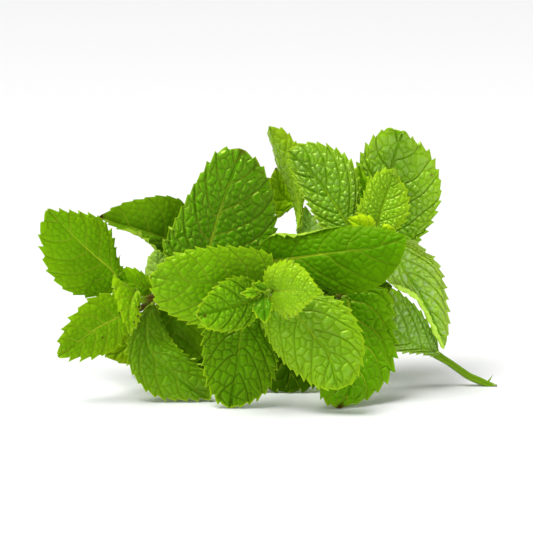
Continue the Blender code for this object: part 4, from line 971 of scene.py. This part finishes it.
    def with_stalk(self, points, field):
        """The blade with its stalk, which runs from inside the stem to the blade's base."""
        steps = np.linspace(0, 1, STALK_CUTS, endpoint=False)
        middle = points.shape[1] // 2
        width = STALK_ROOT_WIDTH + (1 - STALK_ROOT_WIDTH) * steps
        axis = sample(self.curve, self.neck * steps)
        sunk = points[0, middle] - self.rib(np.array(0.0))
        stalk = axis[:, None] + (points[0] - points[0, middle])[None] * width[:, None, None]
        points = np.concatenate([stalk + sunk * steps[:, None, None], points])
        grown = {name: np.concatenate([np.repeat(value[:1], STALK_CUTS, axis=0), value])
                 for name, value in field.items()}
        grown["along"][:STALK_CUTS] = -STALK_ALONG * (1 - steps[:, None])
        beyond = np.maximum(np.arange(len(points)) - STALK_CUTS, 0)[:, None]
        bow = np.cos(HALF_PI * STALK_BOW * np.abs(np.linspace(-1, 1, points.shape[1])))[None]
        round_part = STALK_THICKNESS * np.exp(-beyond / STALK_FADE) * bow
        grown["thick"] = np.maximum(grown["thick"], round_part)
        grown["spacing"][:STALK_CUTS] = NO_VEIN
        return points, grown


class Paint:
    """A node material and the short ways of adding to it."""

    def __init__(self, name):
        self.material = bpy.data.materials.new(name)
        self.material.use_nodes = True
        self.tree = self.material.node_tree
        self.shader = self.tree.nodes["Principled BSDF"]

    def put(self, value, socket):
        """Value or another node's output into a socket."""
        if isinstance(value, bpy.types.NodeSocket):
            self.tree.links.new(value, socket)
        else:
            socket.default_value = value

    def field(self, name):
        """A field of the leaf's own points."""
        node = self.tree.nodes.new("ShaderNodeAttribute")
        node.attribute_name = name
        return node.outputs["Fac"]

    def fix(self, constants):
        """Constants on the shader's own sockets."""
        for name, value in constants.items():
            self.shader.inputs[name].default_value = value

    def maths(self, operation, *values):
        """Result of a calculation."""
        node = self.tree.nodes.new("ShaderNodeMath")
        node.operation = operation
        for value, socket in zip(values, node.inputs):
            self.put(value, socket)
        return node.outputs[0]

    def times(self, first, second):
        """Product of two values."""
        return self.maths("MULTIPLY", first, second)

    def ramp(self, value, low, high, start=0.0, end=1.0):
        """Start below low, end above high, and a soft change between."""
        node = self.tree.nodes.new("ShaderNodeMapRange")
        node.interpolation_type = "SMOOTHSTEP"
        for given, socket in zip((value, low, high, start, end), node.inputs):
            self.put(given, socket)
        return node.outputs[0]

    def mix(self, share, first, second):
        """Two colours, mixed by a share."""
        node = self.tree.nodes.new("ShaderNodeMix")
        node.data_type = "RGBA"
        self.put(share, node.inputs["Factor"])
        for colour, socket in zip((first, second), [s for s in node.inputs if s.type == "RGBA"]):
            self.put(colour if isinstance(colour, bpy.types.NodeSocket) else (*colour, 1.0), socket)
        return next(s for s in node.outputs if s.type == "RGBA")

    def noise(self, scale):
        """Soft noise over the piece, in Object coordinates."""
        place = self.tree.nodes.new("ShaderNodeTexCoord")
        node = self.tree.nodes.new("ShaderNodeTexNoise")
        node.inputs["Scale"].default_value = scale
        node.inputs["Detail"].default_value = NOISE_DETAIL
        self.tree.links.new(place.outputs["Object"], node.inputs["Vector"])
        return node.outputs["Fac"]

    def bump(self, height, strength, distance):
        """Small relief finer than the mesh."""
        node = self.tree.nodes.new("ShaderNodeBump")
        node.inputs["Strength"].default_value = strength
        node.inputs["Distance"].default_value = distance
        self.put(height, node.inputs["Height"])
        self.put(node.outputs["Normal"], self.shader.inputs["Normal"])


def scaled(colour, factor):
    """A colour made lighter or darker."""
    return tuple(min(1.0, channel * factor) for channel in colour)


def leaf_green(leaf):
    """The green of one leaf, made lighter or darker by its finish: partly the leaf's own tone, partly
    painted light and shade.
    """
    red, green, blue = getattr(bpy.context.scene.sprig_colours, leaf.tone)
    return scaled((red * leaf.finish.warm, green, blue), leaf.finish.light)


def blade_colour(paint, green):
    """Mottled green of the upper side, paler in some cells and towards the margins."""
    mottle = paint.ramp(paint.noise(MOTTLE_SCALE), *LEAF_MOTTLE)
    colour = paint.mix(mottle, *(scaled(green, shade) for shade in LEAF_SHADES))
    colour = paint.mix(paint.times(paint.field("number"), CELL_SHARE), colour, scaled(green, CELL_SHADE))
    edge = paint.ramp(paint.field("outward"), EDGE_START, 1.0, 0.0, EDGE_WARMTH)
    return paint.mix(edge, colour, tuple(channel * shade for channel, shade in zip(green, EDGE_SHADES)))


def vein_colours(paint, finish, green, colour):
    """Painted shade over the base, painted sheen on the domes, darker grooves (their own green and painted
    shade), pale side veins, midrib and rim, laid over the blade's colour.
    """
    colours = bpy.context.scene.sprig_colours
    # Painted shade over the base of the blade, where other leaves shadow it
    heart = paint.times(paint.ramp(paint.field("along"), 0.0, PAINTED_SHADE_LENGTH, finish.heart, 0.0),
                        paint.ramp(paint.field("outward"), PAINTED_SHADE_START, 1.0, 1.0, PAINTED_SHADE_RIM))
    colour = paint.mix(heart, colour, scaled(green, PAINTED_SHADE_DEPTH))
    # Painted sheen: pale patches on the tops of the domes stand in for reflected light
    lit = paint.times(paint.ramp(paint.field("dome"), *SHEEN_DOME),
                      paint.ramp(paint.noise(SHEEN_SCALE), *SHEEN_MOTTLE, SHEEN_LEAST * finish.sheen,
                                 finish.sheen))
    colour = paint.mix(lit, colour, colours.sheen)
    net = paint.ramp(paint.field("from_wall"), NET_START, NET_WIDTH, 1.0, 0.0)
    branch_off = paint.times(paint.field("spacing"), paint.maths(
        "ABSOLUTE", paint.maths("SUBTRACT", paint.maths("FRACT", paint.maths(
            "ADD", paint.field("ladder"), 0.5)), 0.5)))
    # Grooves of the side veins and the net: darker green, partly their own colour and partly painted shade
    groove = paint.ramp(branch_off, GROOVE_START, GROOVE_WIDTH, 1.0, 0.0)
    groove = paint.maths("MAXIMUM", groove, paint.times(net, LOOKS[finish.look].net))
    groove = paint.times(groove, finish.groove)
    flushed = paint.ramp(paint.field("along"), 0.0, max(finish.flush, LEAST_FLUSH),
                         min(finish.flush * FLUSH_DEPTH, MOST_FLUSH), 0.0)
    vein = paint.mix(flushed, colours.vein, colours.flush)
    colour = paint.mix(groove, colour, scaled(green, GROOVE_PAINTED_SHADE))
    line = paint.ramp(paint.field("from_wall"), 0.0, LINE_WIDTH, finish.branch * LINE_SHARE, 0.0)
    colour = paint.mix(line, colour, vein)
    outward = paint.field("outward")
    width = paint.ramp(outward, *BRANCH_SPAN, BRANCH_WIDTH, BRANCH_WIDTH * BRANCH_TAPER)
    branch = paint.ramp(branch_off, paint.times(width, BRANCH_CORE), width, 1.0, 0.0)
    branch = paint.times(branch, paint.ramp(outward, BRANCH_FADE, 1.0, finish.branch,
                                            BRANCH_LEAST * finish.branch))
    colour = paint.mix(branch, colour, vein)
    rim_width = paint.maths("MULTIPLY_ADD", paint.noise(RIM_NOISE), RIM_UNEVEN, RIM_WIDTH)
    rim = paint.ramp(paint.field("from_margin"), RIM_START, rim_width, finish.rim, 0.0)
    colour = paint.mix(rim, colour, colours.rim)
    along = paint.field("along")
    width = paint.ramp(along, 0.0, 1.0, RIB_WIDTH * finish.width, RIB_WIDTH * RIB_TAPER)
    rib = paint.ramp(paint.field("from_rib"), paint.times(width, RIB_CORE), width, 1.0, 0.0)
    rib = paint.times(rib, paint.ramp(along, RIB_FADE, 1.0, finish.rib, RIB_LEAST * finish.rib))
    return paint.mix(rib, colour, vein)


def leaf_material(leaf):
    """Leaf: green upper side with its net of veins, browned places, paler matt underside."""
    colours = bpy.context.scene.sprig_colours
    finish = leaf.finish
    paint = Paint(leaf.name + "_finish")
    green = leaf_green(leaf)
    colour = vein_colours(paint, finish, green, blade_colour(paint, green))
    under = paint.field("under")
    net = paint.ramp(paint.field("from_wall"), NET_START, NET_WIDTH, 1.0, 0.0)
    # Lower side, made lighter by its finish as painted light where a folded strip gets little light
    below = scaled(colours.underside, finish.below)
    below = paint.mix(net, below, scaled(below, UNDER_NET_SHADE))
    colour = paint.mix(under, colour, below)
    colour = paint.mix(paint.field("brown"), colour, colours.brown)
    paint.put(colour, paint.shader.inputs["Base Color"])
    glossy = MATT - (MATT - bpy.context.scene.sprig_blade.roughness) * finish.gloss
    gloss = paint.ramp(paint.field("dome"), 0.0, GLOSS_DOME, MATT, glossy)
    gloss = paint.maths("MULTIPLY_ADD", under, UNDER_MATT, gloss)
    paint.put(gloss, paint.shader.inputs["Roughness"])
    blue = min(1.0, SPECULAR_BLUE * finish.gloss + finish.sheen)
    paint.fix({"Specular IOR Level": SPECULAR * finish.gloss, "Specular Tint": (*SPECULAR_WARM, blue, 1.0),
               "Subsurface Weight": SUBSURFACE, "Subsurface Radius": SUBSURFACE_RADIUS,
               "Subsurface Scale": LEAF_DEPTH * MM})
    height = paint.times(paint.field("fine_dome"), FINE_DOME_SHARE)
    paint.bump(paint.maths("ADD", height, paint.noise(SKIN_SCALE)), *LEAF_SKIN)
    return paint.material


def stem_material():
    """Stem: mottled green, painted shade in its grooves, purplish at the nodes, pale where it is cut."""
    colours = bpy.context.scene.sprig_colours
    paint = Paint("stem_finish")
    mottle = paint.noise(MOTTLE_SCALE)
    green = colours.stem
    colour = paint.mix(paint.ramp(mottle, *STEM_MOTTLE), *(scaled(green, shade) for shade in STEM_SHADES))
    # Painted shade in the stem's grooves
    groove = paint.times(paint.field("groove"), STEM_GROOVE_SHARE)
    colour = paint.mix(groove, colour, scaled(green, STEM_GROOVE_PAINTED_SHADE))
    flush = paint.times(paint.field("flush"), paint.ramp(paint.noise(FLUSH_SCALE), *FLUSH_MOTTLE))
    colour = paint.mix(flush, colour, colours.flush)
    colour = paint.mix(paint.field("cut"), colour, colours.pith)
    paint.put(colour, paint.shader.inputs["Base Color"])
    paint.fix({"Roughness": STEM_ROUGHNESS, "Specular Tint": STEM_SPECULAR, "Subsurface Weight": SUBSURFACE,
               "Subsurface Radius": SUBSURFACE_RADIUS, "Subsurface Scale": STEM_DEPTH * MM})
    paint.bump(paint.noise(SKIN_SCALE), *STEM_SKIN)
    return paint.material


def add_piece(name, mesh_data, material, node):
    """The piece in the scene, riding on the sprig and standing for its solid."""
    mesh_data.materials.append(material)
    piece = bpy.data.objects.new(name, mesh_data)
    bpy.context.scene.collection.objects.link(piece)
    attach(piece, "root")
    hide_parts(node)


def finished_mesh(build, name):
    """The mesh that was being built."""
    mesh_data = bpy.data.meshes.new(name)
    build.to_mesh(mesh_data)
    build.free()
    return mesh_data


def points_of(mesh_data):
    """Places of a mesh's points."""
    flat = np.empty(len(mesh_data.vertices) * 3, np.float32)
    mesh_data.vertices.foreach_get("co", flat)
    return flat.reshape(-1, 3)


def set_field(mesh_data, name, values):
    """A number for each point of a mesh, for its material to read."""
    mesh_data.attributes.new(name, "FLOAT", "POINT").data.foreach_set("value", values.astype(np.float32))


def leaf_piece(leaf):
    """A leaf: a fine grid given a second side, then laid on the blade's upper and lower surface."""
    upper, lower, field = Blade(leaf).surface()
    columns, rows = upper.shape[:2]
    build = bmesh.new()
    bmesh.ops.create_grid(build, x_segments=columns - 1, y_segments=rows - 1, size=1.0)
    bmesh.ops.solidify(build, geom=build.faces[:], thickness=-PLATE)
    mesh_data = finished_mesh(build, leaf.name + "_fine")
    flat = points_of(mesh_data)
    column = np.rint((flat[:, 0] + 1) / 2 * (columns - 1)).astype(int)
    row = np.rint((flat[:, 1] + 1) / 2 * (rows - 1)).astype(int)
    middle = (flat[:, 2].max() + flat[:, 2].min()) / 2
    under = flat[:, 2] < middle
    place = np.where(under[:, None], lower[column, row], upper[column, row]) * MM
    mesh_data.vertices.foreach_set("co", place.astype(np.float32).ravel())
    for name, values in field.items():
        set_field(mesh_data, name, values[column, row])
    set_field(mesh_data, "under", under.astype(float))
    mesh_data.update()
    mesh_data.shade_smooth()
    mesh_data.set_sharp_from_angle(angle=math.radians(SHARP_ANGLE))
    node = leaf.stem if leaf.stem in TIPS else leaf.name
    add_piece(leaf.name + "_fine", mesh_data, leaf_material(leaf), node)


def ring_frame(point, run, up):
    """Matrix that stands a ring across a shoot."""
    side = unit(np.cross(up, run))
    top = np.cross(run, side)
    standing = Matrix((side, top, run)).transposed().to_4x4()
    standing.translation = Vector(point)
    return standing


def edges_within(build, ring):
    """Edges between the points of a ring."""
    ring = set(ring)
    return [e for e in build.edges if e.verts[0] in ring and e.verts[1] in ring]


def shoot_mesh(build, name, steps):
    """A four-cornered grooved tube along a shoot, thicker at its nodes."""
    axis, half = shoot_axis(name)
    stations = np.unique(np.linspace(0, len(axis) - 1, steps).astype(int))
    nodes = [(np.linalg.norm(axis - Blade(leaf).curve[0], axis=1).argmin(),
              OLD_NODE_SWELL if leaf.finish.flush else NODE_SWELL)
             for leaf in every_leaf() if leaf.stem == name]
    before, ring = None, None
    for at in stations:
        run = unit(axis[min(at + RUN_STEPS, len(axis) - 1)] - axis[max(at - RUN_STEPS, 0)])
        swell = 1 + max([0.0] + [grown * float(bell(at - node, NODE_REACH)) for node, grown in nodes])
        place = ring_frame(axis[at] * MM, run, RING_TOP) @ Matrix.Scale(half[at] * MM * swell, 4)
        if ring is None:
            made = bmesh.ops.create_circle(build, cap_ends=True, radius=1.0, segments=STEM_SIDES)
            ring = made["verts"]
            for vertex in ring:
                corner = math.cos(4 * math.atan2(vertex.co.y, vertex.co.x))
                groove = STEM_GROOVE * max(0.0, -corner) ** STEM_GROOVE_POWER
                vertex.co *= 1 + STEM_SQUARENESS * corner - groove
            bmesh.ops.reverse_faces(build, faces=list({f for v in ring for f in v.link_faces}))
            bmesh.ops.transform(build, matrix=place, verts=ring)
        else:
            made = bmesh.ops.extrude_edge_only(build, edges=edges_within(build, ring))
            ring = [g for g in made["geom"] if isinstance(g, bmesh.types.BMVert)]
            bmesh.ops.transform(build, matrix=place @ before.inverted(), verts=ring)
        before = place
    bmesh.ops.contextual_create(build, geom=edges_within(build, ring))


def cut_slanting(build):
    """Slice the root of the stem along the line that its cut face shows from the front."""
    top, bottom = (Vector(seen(place)) * MM for place in STEM_CUT)
    along = bottom - top
    outward = Vector((-along.z, 0.0, along.x))
    reach = top.x - CUT_REACH * MM
    faces = [f for f in build.faces if min(v.co.x for v in f.verts) > reach]
    edges = {e for f in faces for e in f.edges}
    verts = {v for f in faces for v in f.verts}
    bmesh.ops.bisect_plane(build, geom=list(verts) + list(edges) + faces, plane_co=top,
                           plane_no=outward, clear_outer=True)
    bmesh.ops.contextual_create(build, geom=[e for e in build.edges if e.is_boundary])
    return top, outward.normalized()


def add_spike(build, places, width, taper):
    """A round spike between two places of the layout, at its end a share of its width."""
    root, end = (seen(place) for place in places)
    bmesh.ops.create_cone(build, cap_ends=True, segments=SPIKE_SIDES, radius1=width * MM / 2,
                          radius2=width * taper * MM / 2, depth=float(np.linalg.norm(end - root)) * MM,
                          matrix=ring_frame((root + end) / 2 * MM, unit(end - root), RING_TOP))


def stem_piece():
    """Stem and side shoots in one mesh, with the fields that colour them."""
    build = bmesh.new()
    shoot_mesh(build, "main", TRUNK_RINGS)
    cut_place, cut_facing = cut_slanting(build)
    add_spike(build, STEM_SLIVER, SLIVER_WIDTH, 0.0)
    add_spike(build, STEM_STUMP, STUMP_WIDTH, STUMP_TAPER)
    for name in SHOOTS:
        if name != "main":
            shoot_mesh(build, name, SHOOT_RINGS)
    for vertex in build.verts:
        vertex.co.z = max(vertex.co.z, 0.0)
    bmesh.ops.recalc_face_normals(build, faces=build.faces[:])
    mesh_data = finished_mesh(build, "stem_fine")
    place = points_of(mesh_data) / MM
    axes = [shoot_axis(name) for name in SHOOTS]
    apart = np.concatenate([np.linalg.norm(place[:, None] - axis[None], axis=2) / half[None]
                            for axis, half in axes], axis=1)
    # How deep in a groove each point lies, for the painted shade there
    set_field(mesh_data, "groove", 1 - smoothstep(*GROOVE_DEPTHS, apart.min(axis=1)))
    starts = np.array([Blade(leaf).curve[0] for leaf in every_leaf() if leaf.finish.flush])
    starts = np.vstack([starts] + [seen(end) for end in STEM_STUMP])
    near = np.linalg.norm(place[:, None] - starts[None], axis=2).min(axis=1)
    set_field(mesh_data, "flush", 1 - smoothstep(*FLUSH_REACH, near))
    off_cut = np.abs((place - np.array(cut_place) / MM) @ np.array(cut_facing))
    near_root = place[:, 0] > cut_place.x / MM - CUT_REACH
    set_field(mesh_data, "cut", (1 - smoothstep(*CUT_DEPTH, off_cut)) * near_root)
    mesh_data.shade_smooth()
    mesh_data.set_sharp_from_angle(angle=math.radians(SHARP_ANGLE))
    add_piece("stem_fine", mesh_data, stem_material(), "stem")


def bud_piece(node, shoot):
    """The closed bud at the end of a shoot: an egg with a drawn-out point."""
    place, run = bud_place(shoot)
    build = bmesh.new()
    bmesh.ops.create_icosphere(build, subdivisions=BUD_FINENESS, radius=0.5)
    for vertex in build.verts:
        narrowed = 1 - BUD_POINT * max(0.0, vertex.co.z)
        vertex.co.x *= narrowed
        vertex.co.y *= narrowed
    stretch = Matrix.Diagonal((BUD_WIDTH * MM, BUD_WIDTH * MM, BUD_LENGTH * MM, 1.0))
    bmesh.ops.transform(build, matrix=ring_frame(place * MM, run, RING_TOP) @ stretch, verts=build.verts)
    mesh_data = finished_mesh(build, "bud_" + shoot)
    mesh_data.shade_smooth()
    paint = Paint("bud_" + shoot + "_finish")
    young = tuple(bpy.context.scene.sprig_colours.young)
    colour = paint.mix(paint.ramp(paint.noise(SKIN_SCALE), *LEAF_MOTTLE), scaled(young, BUD_SHADE), young)
    paint.put(colour, paint.shader.inputs["Base Color"])
    paint.fix({"Roughness": MATT})
    paint.bump(paint.noise(SKIN_SCALE), *BUD_SKIN)
    add_piece("bud_" + shoot, mesh_data, paint.material, node)


def build_leaves(group):
    """The leaves of one group of the layout."""
    for leaf in LEAVES[group]:
        leaf_piece(leaf)


def aimed(thing, place, target):
    """A lamp or a camera put at a place and turned towards another."""
    thing.location = place
    thing.rotation_euler = (Vector(target) - Vector(place)).to_track_quat("-Z", "Y").to_euler()
    bpy.context.scene.collection.objects.link(thing)


def lamp(name, kind, place, power):
    """A soft lamp aimed at the sprig."""
    light = bpy.data.lights.new(name, kind)
    light.energy = power
    aimed(bpy.data.objects.new(name, light), place, (0.0, 0.0, EYE_AIM_HEIGHT * MM))
    return light


def colour_property(name, description, default):
    """A colour that the user can change."""
    return FloatVectorProperty(name=name, description=description, default=default,
                               subtype="COLOR", size=3, min=0.0, max=1.0)


class SPRIG_PG_colours(bpy.types.PropertyGroup):
    """Colours of the leaves and the stem."""

    young: colour_property("Young leaf", "Yellow-green of the youngest leaves", (0.25, 0.48, 0.004))
    fresh: colour_property("Fresh leaf", "Green of the grown leaves in the light", (0.125, 0.29, 0.002))
    deep: colour_property("Deep leaf", "Green of the older leaves", (0.062, 0.175, 0.001))
    # The dark tone of the leaves inside the sprig is partly painted shade
    dark: colour_property("Dark leaf", "Green of the leaves inside the sprig", (0.038, 0.11, 0.001))
    dull: colour_property("Dull leaf", "Grey-green of turned and pale leaves", (0.18, 0.32, 0.045))
    # Colour of the painted sheen on the dome tops, standing in for reflected light
    sheen: colour_property("Dome sheen", "Tops of the small domes between veins", (0.40, 0.55, 0.25))
    vein: colour_property("Vein", "Midrib and side veins", (0.38, 0.54, 0.02))
    rim: colour_property("Rim", "Thin bright rim of a blade", (0.30, 0.50, 0.006))
    underside: colour_property("Underside", "Matt paler lower side of a blade", (0.32, 0.52, 0.035))
    brown: colour_property("Brown", "Dried tips and spots", (0.07, 0.03, 0.008))
    stem: colour_property("Stem", "Green of the stem", (0.17, 0.35, 0.006))
    flush: colour_property("Flush", "Purplish brown at the nodes of the stem", (0.07, 0.028, 0.008))
    pith: colour_property("Pith", "Pale inside of the cut stem", (0.42, 0.52, 0.18))


class SPRIG_PG_blade(bpy.types.PropertyGroup):
    """Finish of the leaf blades."""

    roughness: FloatProperty(
        name="Roughness", description="Roughness of the domes on a blade's upper side",
        default=0.27, min=0.1, max=1.0, subtype="FACTOR")


class SPRIG_PG_studio(bpy.types.PropertyGroup):
    """Floor and light."""

    floor_size: FloatProperty(
        name="Floor", description="Width of the pale floor", default=6.0, min=1.0,
        subtype="DISTANCE", unit="LENGTH")
    overhead_power: FloatProperty(
        name="Overhead lamp", description="Strength of the wide soft lamp above", default=3.9, min=0.0)
    front_power: FloatProperty(
        name="Front lamp", description="Power of the soft lamp at the front left", default=6.5,
        min=0.0, unit="POWER")
    side_power: FloatProperty(
        name="Side lamp", description="Power of the soft lamp at the right", default=2.8,
        min=0.0, unit="POWER")
    sky: FloatProperty(
        name="Surround", description="Brightness of the white surround", default=0.2, min=0.0, max=5.0)


class SPRIG_OT_stem(bpy.types.Operator):
    """Build the cut stem with its three side shoots"""

    bl_idname = "sprig.stem"
    bl_label = "Stem"
    bl_options = {"REGISTER", "UNDO"}

    def execute(self, context):
        stem_piece()
        return {"FINISHED"}


class SPRIG_OT_front_rosette(bpy.types.Operator):
    """Build the four leaves of the front rosette"""

    bl_idname = "sprig.front_rosette"
    bl_label = "Front rosette"
    bl_options = {"REGISTER", "UNDO"}

    def execute(self, context):
        build_leaves("front rosette")
        return {"FINISHED"}


class SPRIG_OT_low_leaves(bpy.types.Operator):
    """Build the leaves that reach the table in front"""

    bl_idname = "sprig.low_leaves"
    bl_label = "Low leaves"
    bl_options = {"REGISTER", "UNDO"}

    def execute(self, context):
        build_leaves("low")
        return {"FINISHED"}


class SPRIG_OT_far_left_leaves(bpy.types.Operator):
    """Build the leaves at the left end of the stem"""

    bl_idname = "sprig.far_left_leaves"
    bl_label = "Far left leaves"
    bl_options = {"REGISTER", "UNDO"}

    def execute(self, context):
        build_leaves("far left")
        return {"FINISHED"}


class SPRIG_OT_top_leaves(bpy.types.Operator):
    """Build the leaves that stand up"""

    bl_idname = "sprig.top_leaves"
    bl_label = "Top leaves"
    bl_options = {"REGISTER", "UNDO"}

    def execute(self, context):
        build_leaves("top")
        return {"FINISHED"}


class SPRIG_OT_right_leaves(bpy.types.Operator):
    """Build the long middle leaf and the two at the right"""

    bl_idname = "sprig.right_leaves"
    bl_label = "Middle and right leaves"
    bl_options = {"REGISTER", "UNDO"}

    def execute(self, context):
        build_leaves("middle and right")
        return {"FINISHED"}


class SPRIG_OT_inner_leaves(bpy.types.Operator):
    """Build the shaded leaves seen in the gaps"""

    bl_idname = "sprig.inner_leaves"
    bl_label = "Inner leaves"
    bl_options = {"REGISTER", "UNDO"}

    def execute(self, context):
        build_leaves("inner")
        return {"FINISHED"}


class SPRIG_OT_back_leaves(bpy.types.Operator):
    """Build the leaves behind the stem"""

    bl_idname = "sprig.back_leaves"
    bl_label = "Back leaves"
    bl_options = {"REGISTER", "UNDO"}

    def execute(self, context):
        build_leaves("back")
        return {"FINISHED"}


class SPRIG_OT_shoot_tips(bpy.types.Operator):
    """Build the buds with their tiny unfolding leaves"""

    bl_idname = "sprig.shoot_tips"
    bl_label = "Shoot tips"
    bl_options = {"REGISTER", "UNDO"}

    def execute(self, context):
        for node, shoot in TIPS.items():
            bud_piece(node, shoot)
        build_leaves("tips")
        return {"FINISHED"}


class SPRIG_OT_stage(bpy.types.Operator):
    """Build the pale floor, the soft light and the camera"""

    bl_idname = "sprig.stage"
    bl_label = "Stage"
    bl_options = {"REGISTER", "UNDO"}

    def execute(self, context):
        studio = context.scene.sprig_studio
        build = bmesh.new()
        bmesh.ops.create_grid(build, x_segments=1, y_segments=1, size=studio.floor_size / 2)
        mesh_data = finished_mesh(build, "studio_floor")
        paint = Paint("studio_floor_finish")
        paint.fix({"Base Color": FLOOR_COLOUR, "Roughness": FLOOR_ROUGHNESS,
                   "Specular IOR Level": FLOOR_SPECULAR})
        mesh_data.materials.append(paint.material)
        floor = bpy.data.objects.new("studio_floor", mesh_data)
        floor.location.z = -FLOOR_DROP
        context.scene.collection.objects.link(floor)
        world = bpy.data.worlds.new("studio_surround")
        world.use_nodes = True
        surround = world.node_tree.nodes["Background"].inputs
        surround["Color"].default_value = SURROUND_COLOUR
        surround["Strength"].default_value = studio.sky
        context.scene.world = world
        lamp("overhead_lamp", "SUN", OVERHEAD_PLACE, studio.overhead_power).angle = OVERHEAD_SPREAD
        lamp("front_lamp", "AREA", FRONT_PLACE, studio.front_power).size = FRONT_SIZE
        lamp("side_lamp", "AREA", SIDE_PLACE, studio.side_power).size = SIDE_SIZE
        camera = bpy.data.objects.new("eye", bpy.data.cameras.new("eye"))
        camera.data.sensor_width = SENSOR_WIDTH
        camera.data.lens = SENSOR_WIDTH * EYE_REACH / VIEW_WIDTH
        camera.data.clip_start = NEAREST_SEEN
        target = Vector((-CENTRE_ACROSS, -CENTRE_BACK, EYE_AIM_HEIGHT)) * MM
        ahead = Vector((0.0, math.cos(EYE_TILT), -math.sin(EYE_TILT)))
        aimed(camera, target - ahead * EYE_REACH * MM, target)
        context.scene.camera = camera
        context.scene.view_settings.view_transform = "Standard"
        return {"FINISHED"}


STEPS = (SPRIG_OT_stem, SPRIG_OT_front_rosette, SPRIG_OT_low_leaves, SPRIG_OT_far_left_leaves,
         SPRIG_OT_top_leaves, SPRIG_OT_right_leaves, SPRIG_OT_inner_leaves, SPRIG_OT_back_leaves,
         SPRIG_OT_shoot_tips, SPRIG_OT_stage)


class SPRIG_PT_panel(bpy.types.Panel):
    """The steps of the sprig and its settings"""

    bl_idname = "SPRIG_PT_panel"
    bl_label = "Spearmint Sprig"
    bl_space_type = "VIEW_3D"
    bl_region_type = "UI"
    bl_category = "Sprig"

    def draw(self, context):
        for step in STEPS:
            self.layout.operator(step.bl_idname)
        for group in (context.scene.sprig_colours, context.scene.sprig_blade, context.scene.sprig_studio):
            box = self.layout.box()
            for name in group.__annotations__:
                box.prop(group, name)


GROUPS = {"sprig_colours": SPRIG_PG_colours, "sprig_blade": SPRIG_PG_blade,
          "sprig_studio": SPRIG_PG_studio}


def register():
    """Make the classes and the settings known."""
    for made in (*GROUPS.values(), *STEPS, SPRIG_PT_panel):
        bpy.utils.register_class(made)
    for name, group in GROUPS.items():
        setattr(bpy.types.Scene, name, PointerProperty(type=group))


def unregister():
    """Take the settings and the classes away again."""
    for name in GROUPS:
        delattr(bpy.types.Scene, name)
    for made in reversed((*GROUPS.values(), *STEPS, SPRIG_PT_panel)):
        bpy.utils.unregister_class(made)


def main():
    """Build the sprig and its stage."""
    register()
    bpy.ops.sprig.stem()
    bpy.ops.sprig.front_rosette()
    bpy.ops.sprig.low_leaves()
    bpy.ops.sprig.far_left_leaves()
    bpy.ops.sprig.top_leaves()
    bpy.ops.sprig.right_leaves()
    bpy.ops.sprig.inner_leaves()
    bpy.ops.sprig.back_leaves()
    bpy.ops.sprig.shoot_tips()
    bpy.ops.sprig.stage()


if __name__ == "__main__":
    main()
